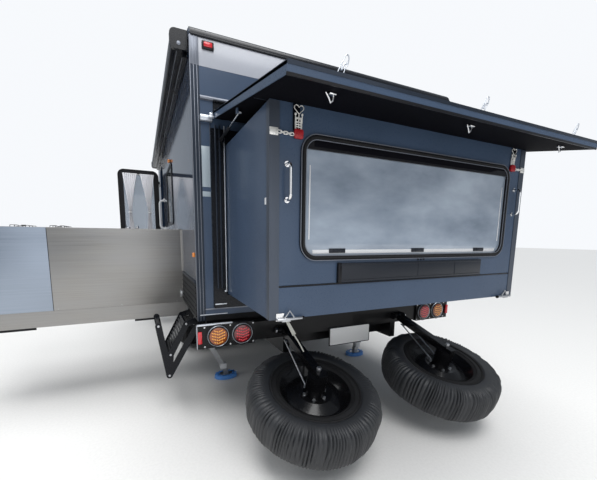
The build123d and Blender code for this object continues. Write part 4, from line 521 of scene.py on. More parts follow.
def add_shapes(bm, origin, blocks=(), rods=()):
    """Blocks (low corner, high corner, bevel) and rods (start, end, radius, sides, bevel) from an origin."""
    for low, high, bevel in blocks:
        add_block(bm, origin + Vector(low), origin + Vector(high), bevel)
    for start, end, radius, sides, bevel in rods:
        add_rod(bm, origin + Vector(start), origin + Vector(end), radius, sides, bevel)


def place_piece(name, bm, finish, body, mirrored=False, sharp=35.0):
    """Make a mesh an object that rides on a body, with its mirror image where wanted."""
    if mirrored:
        mirror_mesh(bm)
    mesh = bpy.data.meshes.new(name)
    bm.to_mesh(mesh)
    bm.free()
    mesh.materials.append(finish_material(finish))
    mesh.shade_smooth()
    mesh.set_sharp_from_angle(angle=radians(sharp))
    piece = bpy.data.objects.new(name, mesh)
    bpy.context.scene.collection.objects.link(piece)
    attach(piece, body)
    return piece


def place_shapes(name, finish, body, blocks=(), rods=(), origin=REAR_FOOT, mirrored=False):
    """A piece of blocks and rods, their rows as in add_shapes."""
    bm = bmesh.new()
    add_shapes(bm, origin, blocks, rods)
    place_piece(name, bm, finish, body, mirrored)


# User sizes and colours

def metres(name, description, default, low, high):
    return FloatProperty(name=name, description=description, default=default, min=low, max=high,
                         unit="LENGTH")


def whole_number(name, description, default, low, high):
    return IntProperty(name=name, description=description, default=default, min=low, max=high)


def colour_choice(name, description, default):
    return FloatVectorProperty(name=name, description=description, subtype="COLOR", size=3, min=0.0, max=1.0,
                               default=default)


class CamperSizes(bpy.types.PropertyGroup):
    """Sizes of the trim and cloth that the solids leave open."""

    band_bottom: metres("Light band height", "Height of the light band's lower edge", 2.352, 2.2, 2.5)
    strip_inner: metres("Strip inner edge", "Coloured strip's distance from the centreline", 1.0, 0.96, 1.04)
    strip_width: metres("Strip width", "Width of the coloured strip on the rear wall", 0.052, 0.01, 0.06)
    plate_width: metres("Plate width", "Width of the blank number plate", 0.372, 0.2, 0.52)
    plate_height: metres("Plate height", "Height of the blank number plate", 0.134, 0.08, 0.2)
    plate_offset: metres("Plate offset", "Distance of the plate from the centreline", -0.055, -0.2, 0.2)
    pleats: whole_number("Cover pleats", "Gathers round each spare wheel cover", 116, 24, 180)
    pleat_depth: metres("Pleat depth", "Depth of the gathers at the cover's shoulder", 0.009, 0.0, 0.02)
    curtain_folds: whole_number("Curtain folds", "Folds across each curtain", 7, 3, 12)
    curtain_waist: metres("Curtain waist", "Width of a curtain where it is tied", 0.036, 0.02, 0.1)
    tread_pitches: whole_number("Tread pitches", "Tread blocks in one row round a road tyre", 54, 24, 80)


class CamperColours(bpy.types.PropertyGroup):
    """Colours of the cloth and of the floor."""

    cover: colour_choice("Cover", "Colour of the spare wheel covers", (0.026, 0.028, 0.032))
    curtain: colour_choice("Curtain", "Colour of the door's curtains", (0.930, 0.930, 0.960))
    floor: colour_choice("Floor", "Colour of the studio floor", (0.800, 0.790, 0.770))


SOLIDS_BY_FINISH = {
    "slate_panel": ("wall_rear", "slideout_shell", "slideout_rear_panel", "lid_panel"),
    "slate_gloss": ("wall_left", "wall_right", "wall_front"),
    "roof_skin": ("roof_panel",),
    "hatch_skin": ("roof_hatch",),
    "dark_trim": ("corner_trims",),
    "black_sheet": ("side_cladding", "wheel_arches", "front_box", "front_box_lid"),
    "black_mould": ("side_window_frames", "rear_lamps", "slideout_window_frame", "door_panel"),
    "tinted_glass": ("side_window_panes",),
    "black_rail": ("awning_cassette", "rear_wall_trims", "step_rear", "step_entry"),
    "zinc_plate": ("kitchen_runners", "jockey_leg", "stabiliser_left", "stabiliser_right"),
    "white_paint": ("door_hardware",),
    # The rear pane's colour holds a painted reflection of the sky.
    "glass_with_painted_sky": ("slideout_window_pane",),
    "angle_trim": ("slideout_corner_angles",),
    "chrome_plate": ("slideout_fittings", "strut_rod_left", "strut_rod_right"),
    "brushed_steel": ("kitchen_cabinet", "kitchen_top"),
    "door_glass": ("door_pane",),
    "soft_rubber": ("jockey_wheel",),
    "black_coat": ("chassis_frame", "rear_beam", "tow_eye", "suspension", "stabiliser_brackets",
                   "strut_cylinder_left", "strut_cylinder_right"),
    "tank_mould": ("water_tanks",),
    "under_board": ("floor_panel",),
    "wheel_paint": ("rim_left", "rim_right", "spare_carrier_left", "spare_carrier_right"),
}


class CAMPER_OT_node_finishes(bpy.types.Operator):
    """Give each solid of the frame its finish"""
    bl_idname = "camper.node_finishes"
    bl_label = "Solid finishes"

    def execute(self, context):
        for finish, nodes in SOLIDS_BY_FINISH.items():
            for node in nodes:
                materials = frame["nodes"][node].data.materials
                materials.clear()
                materials.append(finish_material(finish))
        return {"FINISHED"}


# Rear wall, its pieces measured from REAR_FOOT

TRIM_THICKNESS = 0.003
VINYL = 0.0012
CORNER_LEG = 0.046
ROOF_RADIUS = 0.070
ROOF_EDGE = 0.065
DRIP_RAIL = ((0, 2.160), (-0.016, 2.164), (-0.020, 2.172), (-0.014, 2.182), (0, 2.184))


class CAMPER_OT_rear_wall(bpy.types.Operator):
    """Light band, coloured strips, corner lines, drip rails, sill rubber, lid brackets and roof edge"""
    bl_idname = "camper.rear_wall"
    bl_label = "Rear wall trim"

    def execute(self, context):
        sizes = context.scene.camper_sizes
        roof = ROOF_TOP - GROUND
        band, top = sizes.band_bottom, roof - ROOF_EDGE
        half, side = SIDE_Y - CORNER_LEG, SIDE_Y + TRIM_THICKNESS
        inner, outer = sizes.strip_inner, sizes.strip_inner + sizes.strip_width
        place_shapes("rear_light_band", "light_band", "chassis", [
            ((-VINYL, -half, band), (0, half, top), 0.0004)])
        place_shapes("rear_corner_tops", "pale_trim", "chassis", [
            ((-0.004, half, band), (-TRIM_THICKNESS, side + 0.001, top), 0.0004),
            *(((-0.006, half + dy, band), (-TRIM_THICKNESS, half + dy + 0.003, top), 0.0008)
              for dy in (0.008, 0.024, 0.040))], mirrored=True)
        place_shapes("corner_ridges", "pale_trim", "chassis", [
            *(((-0.005, half + dy, 0.765), (-TRIM_THICKNESS, half + dy + 0.004, band), 0.0008)
              for dy in (0.010, 0.030)),
            ((0.004, SIDE_Y, 0.765), (0.010, side + 0.004, top), 0.001)], mirrored=True)
        place_shapes("rear_strip_light", "light_strip", "chassis", [
            ((-VINYL, inner, 1.640), (0, outer, 1.890), 0.0004),
            ((-VINYL, inner, 1.580), (0, outer, 1.612), 0.0004)], mirrored=True)
        place_shapes("rear_strip_channels", "dark_trim", "chassis", [
            *(((-0.005, y, 0.84), (0, y + 0.005, 2.03), 0.001) for y in (inner - 0.006, outer + 0.001)),
            *(((-0.019, y, 0.98), (-0.015, y + 0.010, 2.02), 0.001) for y in (0.935, 0.962))], mirrored=True)
        place_shapes("slot_edge_lines", "bright_trim", "chassis", [
            ((-0.020, 0.908, 0.965), (-0.0145, 0.914, 2.020), 0.001),
            ((-0.021, 0.908, 0.955), (-0.0145, 0.924, 0.966), 0.001),
            ((-0.018, 0.912, 0.868), (-0.0145, 0.990, 0.876), 0.001),
            ((-0.010, 0.906, 0.800), (0, SIDE_Y - 0.010, 0.806), 0.001)], mirrored=True)

        rail = bmesh.new()
        add_plate(rail, [at(x, -half, z) for x, z in DRIP_RAIL], ACROSS * 2 * half, 0.001)
        add_block(rail, at(-0.008, -half, 0.835), at(0, half, 0.845), 0.0015)
        place_piece("rear_drip_rails", rail, "pale_trim", "chassis")

        place_shapes("rear_sill_rubber", "soft_rubber", "chassis", [
            ((-0.007, -half, z), (0, half, z + 0.006), 0.0015) for z in (0.7620, 0.7705, 0.7790, 0.7875)])
        place_shapes("lid_end_brackets", "bright_trim", "chassis", [
            ((-0.030, 0.985, 2.034), (0, 1.058, 2.068), 0.003),
            ((-0.040, 0.982, 2.050), (-0.004, 1.004, 2.082), 0.004)],
            [((-0.034, 0.978, 2.058), (-0.034, 1.010, 2.058), 0.008, 24, 0.001)], mirrored=True)

        cap = bmesh.new()
        outline = []
        for reach, order in ((ROOF_RADIUS + 0.004, 1), (ROOF_RADIUS, -1)):
            arc = []
            for step in range(9):
                angle = pi - step * pi / 16
                arc.append(at(ROOF_RADIUS + reach * cos(angle), -SIDE_Y,
                              roof - ROOF_RADIUS + reach * sin(angle)))
            outline += arc[::order]
        add_plate(cap, outline, ACROSS * 2 * SIDE_Y)
        add_block(cap, at(-0.009, -SIDE_Y, top - 0.004), at(0.002, SIDE_Y, top + 0.010), 0.002)
        place_piece("roof_rear_trim", cap, "black_rail", "chassis")
        place_shapes("roof_edge_line", "pale_trim", "chassis", [
            ((ROOF_RADIUS - 0.004, -SIDE_Y, roof), (ROOF_RADIUS + 0.008, SIDE_Y, roof + 0.006), 0.002)])
        return {"FINISHED"}


# Slide-out box

class CAMPER_OT_box_trim(bpy.types.Operator):
    """Window lines, seal, a black strip of painted shade over the pane's head, rail and catches, the dark
    bar, plugs and a black line of painted shade in the crease
    """
    bl_idname = "camper.box_trim"
    bl_label = "Box trim"

    def execute(self, context):
        pane = PANE_HIGH - PANE_LOW
        flange = FRAME_HIGH - FRAME_LOW
        face = (PANE_LOW + PANE_HIGH) / 2
        face.x = FRAME_LOW.x
        wide, tall, half = pane.y, pane.z, pane.y / 2

        lines, seal = bmesh.new(), bmesh.new()
        add_border(lines, face, (flange.y, flange.z, 0.085), (flange.y - 0.007, flange.z - 0.007, 0.0815),
                   0.0035, 0.0008, 12)
        add_border(lines, face, (wide + 0.006, tall + 0.006, 0.062), (wide - 0.002, tall - 0.002, 0.058),
                   0.0035, 0.0008, 12)
        place_piece("window_bright_lines", lines, "pale_trim", "slideout")
        add_border(seal, face, (wide + 0.030, tall + 0.030, 0.074), (wide + 0.012, tall + 0.012, 0.066),
                   0.005, 0.0015, 12)
        place_piece("window_seal", seal, "soft_rubber", "slideout")

        # A black strip over the top of the pane, narrower at the -Y end: painted shade of the lid.
        pane_head_shade = bmesh.new()
        head = Vector((FRAME_LOW.x + 0.002, 0, PANE_HIGH.z - 0.030))
        add_plate(pane_head_shade, shifted(head, (
            (0, half - 0.04, 0), (0, 0.17 - half, 0), (0, 0.10 - half, 0.018), (0, 0.02 - half, 0.018),
            (0, 0.02 - half, 0.030), (0, half - 0.04, 0.030))), BACKWARD * 0.004, 0.001)
        place_piece("window_head_shade", pane_head_shade, "painted_shade_black", "slideout")

        sill = Vector((PANE_LOW.x, 0, PANE_LOW.z))
        place_shapes("window_inner_rail", "white_paint", "slideout", [
            ((-0.0012, 0.045 - half, 0.008), (0, half - 0.045, 0.026), 0.0004),
            ((-0.0012, 0.022 - half, 0.075), (0, 0.028 - half, tall - 0.110), 0.0004),
            ((-0.0012, half - 0.028, 0.075), (0, half - 0.022, tall - 0.110), 0.0004)], origin=sill)
        catches = []
        for y in (-0.52, 0.0, 0.54):
            catches += [((-0.0052, y - 0.048, 0.010), (-0.0012, y + 0.048, 0.032), 0.004),
                        ((-0.0102, y - 0.022, 0.016), (-0.0042, y + 0.022, 0.028), 0.003)]
        place_shapes("window_catches", "grey_mould", "slideout", catches, origin=sill)

        place_shapes("box_dark_bar", "grey_mould", "slideout", [
            ((-0.0160, -0.537, 1.102), (0, 0.537, 1.198), 0.003),
            ((-0.0175, -0.300, 1.108), (-0.0155, -0.297, 1.192), 0.0008),
            ((-0.0175, 0, 1.108), (-0.0155, 0.003, 1.192), 0.0008),
            ((-0.0180, -0.530, 1.110), (-0.0155, 0.530, 1.114), 0.001),
            ((-0.0180, -0.530, 1.186), (-0.0155, 0.530, 1.190), 0.001)], origin=BOX_FOOT)
        # Black end block of the bar and plugs, and a thin black line across the face under the bar that is
        # painted shade in a crease.
        place_shapes("box_black_ends_and_crease_shade", "black_mould", "slideout", [
            ((-0.018, 0.518, 1.100), (0, 0.540, 1.200), 0.004),
            ((-0.0008, BOX_LOW.y + 0.045, 1.091), (0.004, BOX_HIGH.y - 0.045, 1.098), 0.0005)],
            [((0, y, 1.207), (-0.004, y, 1.207), 0.0055, 16, 0.001) for y in (-0.052, -0.030, -0.008)],
            origin=BOX_FOOT)
        place_shapes("box_white_tab", "white_paint", "slideout", [
            ((-0.752, 0.900, 1.470), (-0.734, 0.9035, 1.500), 0.001)])
        return {"FINISHED"}


# Latches: the toggles' heart-shaped wire, and the bottom latches' wire and strap from the box's lower edge

TOGGLE_Y = 0.767
TOGGLE_HEART = ((0.0, 0.0), (0.023, 0.022), (0.022, 0.031), (0.014, 0.037), (0.005, 0.034), (0.0, 0.028),
                (-0.005, 0.034), (-0.014, 0.037), (-0.022, 0.031), (-0.023, 0.022), (0.0, 0.0))
LATCH_LOOP = ((-0.018, 0.834, 0.004), (-0.020, 0.806, 0.042), (-0.018, 0.778, 0.004))
STRAP_BAND = ((-0.016, 0.826, -0.006), (-0.016, 0.810, -0.006), (-0.014, 0.768, -0.076),
              (-0.014, 0.786, -0.084))
STRAP_CORD = ((-0.013, 0.780, -0.078), (-0.014, 0.756, -0.116), (-0.011, 0.724, -0.172))


class CAMPER_OT_box_latches(bpy.types.Operator):
    """Toggle latches with chains and red grips at the top, over-centre latches and a strap at the bottom"""
    bl_idname = "camper.box_latches"
    bl_label = "Box latches"

    def execute(self, context):
        # A black plate over the latch plates behind the hearts: painted shade.
        place_shapes("toggle_shade_plates", "painted_shade_black", "slideout", [
            ((-0.0062, 0.759, 1.790), (-0.0050, 0.793, 1.900), 0.0004)], origin=BOX_FOOT, mirrored=True)

        metal = bmesh.new()
        rods = [((-0.008, TOGGLE_Y, 1.800), (-0.012, TOGGLE_Y, 1.860), 0.0026, 12, 0.0)]
        for z in (1.806, 1.816, 1.826):
            rods.append(((-0.008, TOGGLE_Y - 0.012, z), (-0.008, TOGGLE_Y + 0.012, z), 0.0024, 12, 0.0))
        for y in (TOGGLE_Y - 0.0165, TOGGLE_Y + 0.0165):
            rods += [((-0.009, y, 1.822), (-0.012, y, 1.856), 0.0022, 12, 0.0),
                     ((-0.012, y, 1.852), (-0.012, y, 1.862), 0.0048, 16, 0.003)]
        add_shapes(metal, BOX_FOOT, rods=rods)
        add_border(metal, on_box(-0.010, TOGGLE_Y, 1.818), (0.035, 0.056, 0.004), (0.021, 0.040, 0.003),
                   -0.006, 0.001, 3)
        add_wire(metal, [on_box(-0.012, TOGGLE_Y + dy, 1.858 + dz) for dy, dz in TOGGLE_HEART], 0.0020)
        place_piece("toggle_latches", metal, "bright_link", "slideout", mirrored=True)

        chain = bmesh.new()
        add_block(chain, on_box(-0.006, 0.862, 1.759), on_box(-0.003, 0.902, 1.791), 0.002)
        for link in range(5):
            flat = (1, 0, 0) if link % 2 else UP
            place = on_box(-0.010, 0.858 - link * 0.0145, 1.774 - link * 0.0006)
            add_wire(chain, rounded_outline(place, flat, 0.021, 0.012, 0.0058, 3), 0.0021, closed=True)
        place_piece("toggle_chains", chain, "bright_link", "slideout", mirrored=True)

        grip = bmesh.new()
        add_panel(grip, on_box(-0.004, TOGGLE_Y, 1.776), (0.044, 0.040, 0.008), 0.013, 0.002, 4)
        for y in (TOGGLE_Y - 0.011, TOGGLE_Y, TOGGLE_Y + 0.011):
            add_block(grip, on_box(-0.019, y - 0.003, 1.764), on_box(-0.016, y + 0.003, 1.790), 0.001)
        place_piece("toggle_grips", grip, "red_grip", "slideout", mirrored=True)

        edge = Vector((BOX_FACE, 0, BOX_LOW.z))
        low = bmesh.new()
        add_shapes(low, edge, [((-0.024, 0.800, -0.010), (-0.004, 0.846, 0.006), 0.004)],
                   [((-0.018, 0.738, 0.002), (-0.018, 0.868, 0.002), 0.0075, 24, 0.001)])
        add_wire(low, shifted(edge, LATCH_LOOP), 0.004)
        place_piece("bottom_latches", low, "zinc_plate", "slideout", mirrored=True)

        strap = bmesh.new()
        add_plate(strap, shifted(edge, STRAP_BAND), (0.002, 0, 0), 0.0008)
        add_wire(strap, shifted(edge, STRAP_CORD), 0.0032, smooth=True)
        place_piece("pull_strap", strap, "pale_strap", "slideout")
        place_shapes("latch_ends", "black_mould", "slideout", origin=edge, mirrored=True, rods=[
            ((-0.018, 0.728, 0.002), (-0.018, 0.740, 0.002), 0.009, 24, 0.002)])
        return {"FINISHED"}


# Lid: its slope, hinge line, sizes, and the wires of its straps and hooks

LID_SLOPE = radians(11.04)
LID_DOWN = Vector((-cos(LID_SLOPE), 0, -sin(LID_SLOPE)))
LID_OUT = Vector((-sin(LID_SLOPE), 0, cos(LID_SLOPE)))
LID_HINGE = at(0, 0, 2.059)
LID_DEPTH = 1.149
LID_THICK = 0.040
LID_CATCH_SHARES = (-0.78, 0.0, 0.78)
STRAP_LOOP = ((0, 0.014, 0), (-0.004, -0.010, 0.052), (-0.006, -0.026, 0.072), (-0.005, -0.032, 0.050),
              (-0.003, -0.020, 0.026), (0, -0.012, 0))
STRAP_TONGUE = ((-0.003, -0.006, 0.022), (-0.006, -0.020, 0.044), (-0.006, -0.030, 0.046))
HOOK_WIRE = ((0, 0.024, -0.004), (0, 0.010, -0.020), (0, 0, -0.036), (0, -0.008, -0.030), (0, -0.010, -0.012))


def on_lid(run, y, above):
    """A point down the lid's slope, across it and above its underside."""
    return LID_HINGE + LID_DOWN * run + LID_OUT * above + ACROSS * y


def add_lid_bar(bm, runs, levels, y, width, bevel):
    """A bar of the lid from y across a width, between two runs and two levels."""
    corners = ((runs[0], levels[0]), (runs[1], levels[0]), (runs[1], levels[1]), (runs[0], levels[1]))
    add_plate(bm, [on_lid(run, y, level) for run, level in corners], ACROSS * width, bevel)


def add_lid_strip(bm, runs, levels, margin=0.0, bevel=0.001):
    """A strip right across the lid but for its margins, between two runs and two levels."""
    add_lid_bar(bm, runs, levels, margin - LID_HALF, 2 * (LID_HALF - margin), bevel)


def lid_wire(bm, place, points, radius, smooth):
    """A wire whose points are measured from a place of the lid."""
    add_wire(bm, [on_lid(*(Vector(place) + Vector(point))) for point in points], radius, smooth=smooth)


class CAMPER_OT_lid_trim(bpy.types.Operator):
    """Black sheet of painted shade under the lid with its seam, edge rails, lip, straps and hooks of the lid
    """
    bl_idname = "camper.lid_trim"
    bl_label = "Lid trim"

    def execute(self, context):
        shade_sheet, seam, rails, lip = (bmesh.new() for _ in range(4))
        # A black sheet over the lid's underside, painted shade, with a grey seam across it.
        add_lid_strip(shade_sheet, (0.03, LID_DEPTH - 0.004), (-0.0006, 0), 0.004, 0.0)
        place_piece("lid_painted_shade", shade_sheet, "painted_shade_black", "lid")
        add_lid_strip(seam, (0.760, 0.764), (-0.0026, -0.0006), 0.02, 0.0)
        place_piece("lid_underside_seam", seam, "grey_mould", "lid")
        for y in (-LID_HALF, LID_HALF - 0.004):
            add_lid_bar(rails, (0.016, LID_DEPTH), (LID_THICK - 0.012, LID_THICK + 0.003), y, 0.004, 0.001)
        add_lid_strip(rails, (LID_DEPTH - 0.004, LID_DEPTH + 0.002), (LID_THICK - 0.010, LID_THICK + 0.003))
        place_piece("lid_edge_rails", rails, "dark_trim", "lid")
        add_lid_strip(lip, (LID_DEPTH - 0.004, LID_DEPTH + 0.0015), (-0.002, 0.008))
        place_piece("lid_edge_lip", lip, "black_mould", "lid")

        straps, hooks = bmesh.new(), bmesh.new()
        tilt = Matrix.Rotation(-LID_SLOPE, 4, "Y")
        far, near = LID_DEPTH - 0.030, LID_DEPTH - 0.072
        for y in (share * LID_HALF for share in LID_CATCH_SHARES):
            add_block(straps, (-0.012, -0.020, -0.003), (0.012, 0.020, 0.003), 0.0015,
                      Matrix.Translation(on_lid(far, y, LID_THICK + 0.001)) @ tilt)
            lid_wire(straps, (far, y, LID_THICK), STRAP_LOOP, 0.0022, True)
            lid_wire(straps, (far, y, LID_THICK), STRAP_TONGUE, 0.0035, True)
            add_block(hooks, (-0.014, -0.014, -0.0055), (0.014, 0.014, 0.0055), 0.002,
                      Matrix.Translation(on_lid(near, y, -0.006)) @ tilt)
            lid_wire(hooks, (near, y, 0), HOOK_WIRE, 0.0030, False)
        place_piece("lid_straps", straps, "bright_trim", "lid")
        place_piece("lid_hooks", hooks, "chrome_plate", "lid")
        return {"FINISHED"}


# Lamps, measured from REAR_FOOT, and number plate

LAMP_HEIGHT = 0.683
LAMP_PANEL = -0.115
LAMP_PLACES = ((0.998, "amber"), (0.835, "red"))
LAMP_RING = ((0.0655, 0.0), (0.0705, 0.0), (0.0705, 0.009), (0.068, 0.013), (0.0655, 0.011))
LAMP_COLLAR = ((0.0705, 0.0), (0.080, 0.0), (0.079, 0.006), (0.0705, 0.008))
LENS_SECTION = ((0.0, 0.001), (0.0, 0.004), (0.034, 0.0035), (0.052, 0.002), (0.058, 0.0005), (0.058, -0.002),
                (0.0, -0.002))
LENS_REACH = 0.049


class CAMPER_OT_lamps(bpy.types.Operator):
    """Round lamps with rings and slanted light bars, end, high and side markers, screws and edges"""
    bl_idname = "camper.lamps"
    bl_label = "Lamps"

    def execute(self, context):
        for name, finish, section in (("lamp_rings", "bright_trim", LAMP_RING),
                                      ("lamp_collars", "black_mould", LAMP_COLLAR)):
            ring = bmesh.new()
            for y, _ in LAMP_PLACES:
                add_turned(ring, section, at(LAMP_PANEL, y, LAMP_HEIGHT), BACKWARD, 56)
            place_piece(name, ring, finish, "chassis", mirrored=True)

        face = LAMP_LOW.x - WALL_X
        for y, tint in LAMP_PLACES:
            lens, bars = bmesh.new(), bmesh.new()
            add_turned(lens, LENS_SECTION, at(face, y, LAMP_HEIGHT), BACKWARD, 48)
            for row in range(-2, 3):
                for column in (-2.5, -1.5, -0.5, 0.5, 1.5, 2.5):
                    dy, dz = column * 0.0150, row * 0.0190 + (abs(column) - 1.5) * 0.005
                    if dy * dy + dz * dz < LENS_REACH ** 2:
                        slant = Matrix.Rotation(radians(38 if column > 0 else -38), 4, "X")
                        place = at(face - 0.0035, y + dy, LAMP_HEIGHT + dz)
                        add_block(bars, (-0.0022, -0.0072, -0.0036), (0.001, 0.0072, 0.0036), 0.0014,
                                  Matrix.Translation(place) @ slant)
            place_piece("lamp_%s_depth" % tint, lens, tint + "_depth", "chassis", mirrored=True)
            place_piece("lamp_%s_glow" % tint, bars, tint + "_glow", "chassis", mirrored=True)

        end = LAMP_HIGH.y
        place_shapes("red_markers", "red_lens", "chassis", [
            ((-0.131, end - 0.025, 0.643), (-0.119, end + 0.001, 0.723), 0.004),
            ((-0.021, 0.972, 2.458), (-0.010, 1.024, 2.486), 0.006)], mirrored=True)
        place_shapes("high_marker_bases", "black_mould", "chassis", [
            ((-0.014, 0.962, 2.446), (0, 1.034, 2.494), 0.005)], mirrored=True)
        place_shapes("lamp_panel_screws", "white_paint", "chassis", mirrored=True, rods=[
            ((LAMP_PANEL, y, z), (LAMP_PANEL - 0.003, y, z), 0.0055, 16, 0.001)
            for y in (0.758, 0.916, 1.084) for z in (0.618, 0.746)])
        place_shapes("lamp_panel_edges", "bright_trim", "chassis", [
            ((-0.121, 0.900, 0.757), (-0.107, 1.131, 0.769), 0.004),
            ((-0.117, 1.129, 0.604), (-0.085, 1.132, 0.757), 0.001)], mirrored=True)
        place_shapes("side_markers", "amber_lens", "chassis", [
            ((x, SIDE_Y + 0.002, 1.188), (x + 0.045, SIDE_Y + 0.018, 1.218), 0.004) for x in (0.052, 4.0)],
            mirrored=True)
        return {"FINISHED"}


class CAMPER_OT_number_plate(bpy.types.Operator):
    """A blank number plate in its black holder"""
    bl_idname = "camper.number_plate"
    bl_label = "Number plate"

    def execute(self, context):
        sizes = context.scene.camper_sizes
        wide, tall = sizes.plate_width, sizes.plate_height
        back = at(-0.104, sizes.plate_offset, 0.562)
        holder, plate = bmesh.new(), bmesh.new()
        add_panel(holder, back, (wide + 0.014, tall + 0.014, 0.010), 0.004, 0.001)
        place_piece("plate_holder", holder, "black_mould", "chassis")
        add_panel(plate, back + BACKWARD * 0.004, (wide, tall, 0.008), 0.0012, 0.0004)
        add_border(plate, back + BACKWARD * 0.0052, (wide - 0.006, tall - 0.006, 0.007),
                   (wide - 0.010, tall - 0.010, 0.006), 0.0008, 0.0003)
        place_piece("blank_plate", plate, "plate_face", "chassis")
        return {"FINISHED"}


# Spare wheels: slope of their arms, place of a wheel's middle along and over its arm, and radius

SPARE_SLOPE = radians(16.0)
SPARE_DOWN = Vector((-cos(SPARE_SLOPE), 0, -sin(SPARE_SLOPE)))
SPARE_UP = Vector((-sin(SPARE_SLOPE), 0, cos(SPARE_SLOPE)))
SPARE_ARM = 0.496
SPARE_MID = -0.203
SPARE_RADIUS = 0.400
STUD_CIRCLE = 0.070

# Cover's section from its elastic hem, over the shoulder and tread, to the middle of its far face
COVER_SECTION = (
    (0.268, 0.112), (0.285, 0.121), (0.310, 0.124), (0.335, 0.121), (0.358, 0.112), (0.376, 0.099),
    (0.388, 0.082), (0.395, 0.062), (0.398, 0.040), (0.399, 0.015), (0.399, -0.015), (0.398, -0.040),
    (0.395, -0.062), (0.388, -0.082), (0.376, -0.099), (0.356, -0.112), (0.330, -0.119), (0.290, -0.121),
    (0.235, -0.120), (0.160, -0.117), (0.080, -0.115), (0.0, -0.114),
)
HEM_SECTION = [(0.268 + 0.0045 * cos(step * pi / 4), 0.111 + 0.0045 * sin(step * pi / 4))
               for step in range(8)]
SPARE_WALL = ((0.212, 0.094), (0.222, 0.104), (0.245, 0.111), (0.268, 0.108), (0.300, 0.104), (0.300, 0.060),
              (0.212, 0.060))


def clamped(value):
    return max(0.0, min(1.0, value))


def pleat_share(radius, height):
    """How deep the gathers are at a place of the section, from 0 to 1."""
    if height < -0.105:
        return 0.25 * clamped((radius - 0.12) / 0.25)
    return clamped((radius - 0.318) / 0.045) * (0.35 + 0.65 * clamped((height + 0.11) / 0.17))


def gather(angle, height, pleats):
    """Round folds with sharp creases, uneven round the wheel, from -1 to 1."""
    drift = 1.9 * sin(3 * angle + 0.6) + 1.4 * sin(7 * angle + 2.0) + 0.8 * sin(17 * angle)
    branch = 0.9 * sin(9 * angle + 1.0) * (0.11 - height) / 0.2
    fold = abs(sin(pleats / 2 * angle + drift + branch))
    swell = 0.62 + 0.38 * sin(5 * angle + 1.3) * sin(23 * angle + 0.4)
    return (2 * fold ** 0.7 - 1) * swell


def add_cover(bm, centre, sizes):
    """A gathered cloth cover over a spare wheel."""
    add_turned(bm, COVER_SECTION, (0, 0, 0), SPARE_UP, sizes.pleats * 7, closed=False)
    out = SPARE_UP.orthogonal().normalized()
    side = SPARE_UP.cross(out)
    for vert in bm.verts:
        height = vert.co.dot(SPARE_UP)
        flat = vert.co - SPARE_UP * height
        radius = flat.length
        if radius > 1e-4:
            angle = atan2(flat.dot(side), flat.dot(out))
            fold = gather(angle + 0.10 * (0.12 - height), height, sizes.pleats)
            depth = sizes.pleat_depth * (pleat_share(radius, height) * fold - 0.25)
            ripple = 0.002 * sin(4 * angle + 9 * height) * (radius / SPARE_RADIUS)
            outward = flat.normalized() * (radius / SPARE_RADIUS) ** 3 + SPARE_UP * (height / 0.12)
            vert.co += outward.normalized() * (depth + ripple)
        vert.co += centre


def thicken(piece, thickness):
    """Give a cloth its thickness, inward."""
    modifier = piece.modifiers.new("Thickness", "SOLIDIFY")
    modifier.thickness = thickness
    modifier.offset = -1.0


def add_studs(bm, pivot, centre, outward):
    """A spare wheel's studs, nuts, stays with their foot, and the end nut of its hinge."""
    for turn in range(6):
        angle = turn * pi / 3 + pi / 6
        place = centre + (SPARE_DOWN * cos(angle) + ACROSS * sin(angle)) * STUD_CIRCLE
        for low, high, radius, sides in ((0.030, 0.078, 0.0075, 20), (0.050, 0.068, 0.013, 6)):
            add_rod(bm, place + SPARE_UP * low, place + SPARE_UP * high, radius, sides, 0.001)
    hub = centre + SPARE_UP * (0.025 - SPARE_MID)
    add_rod(bm, hub, hub + SPARE_UP * 0.022, 0.014, 6, 0.001)
    foot = pivot + SPARE_DOWN * 0.095
    head = centre - SPARE_DOWN * 0.058 + SPARE_UP * 0.080
    for y in (-0.034, 0.034):
        add_rod(bm, foot - SPARE_UP * 0.030 + ACROSS * y, head + ACROSS * y, 0.005, 12)
    add_block(bm, (-0.016, -0.040, -0.004), (0.016, 0.040, 0.004), 0.002,
              Matrix.Translation(foot - SPARE_UP * 0.029) @ Matrix.Rotation(-SPARE_SLOPE, 4, "Y"))
    add_rod(bm, pivot + outward * 0.058, pivot + outward * 0.070, 0.015, 6, 0.001)


class CAMPER_OT_spare_covers(bpy.types.Operator):
    """Gathered cloth covers with their hems, spare tyres inside them, and their studs and stays"""
    bl_idname = "camper.spare_covers"
    bl_label = "Spare wheels"

    def execute(self, context):
        for side, sign in (("left", 1), ("right", -1)):
            body = "carrier_" + side
            pivot = Vector(joint_named(body + "_swing")["pos_m"])
            centre = pivot + SPARE_DOWN * SPARE_ARM + SPARE_UP * SPARE_MID
            cloth, hem, wall, studs = (bmesh.new() for _ in range(4))
            add_cover(cloth, centre, context.scene.camper_sizes)
            cover = place_piece("cloth_cover_" + side, cloth, "cover_cloth", body, sharp=60.0)
            thicken(cover, 0.0015)
            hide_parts("spare_cover_" + side)

            add_turned(hem, HEM_SECTION, centre, SPARE_UP, 96)
            place_piece("cover_hem_" + side, hem, "soft_rubber", body)
            add_turned(wall, SPARE_WALL, centre, SPARE_UP, 96)
            for rib in (0.228, 0.256):
                section = ((rib, 0.100), (rib + 0.003, 0.111), (rib + 0.006, 0.100))
                add_turned(wall, section, centre, SPARE_UP, 96)
            place_piece("spare_tyre_" + side, wall, "tyre_rubber", body)
            add_studs(studs, pivot, centre, ACROSS * sign)
            place_piece("spare_studs_" + side, studs, "zinc_plate", body)
        return {"FINISHED"}


# Road wheels

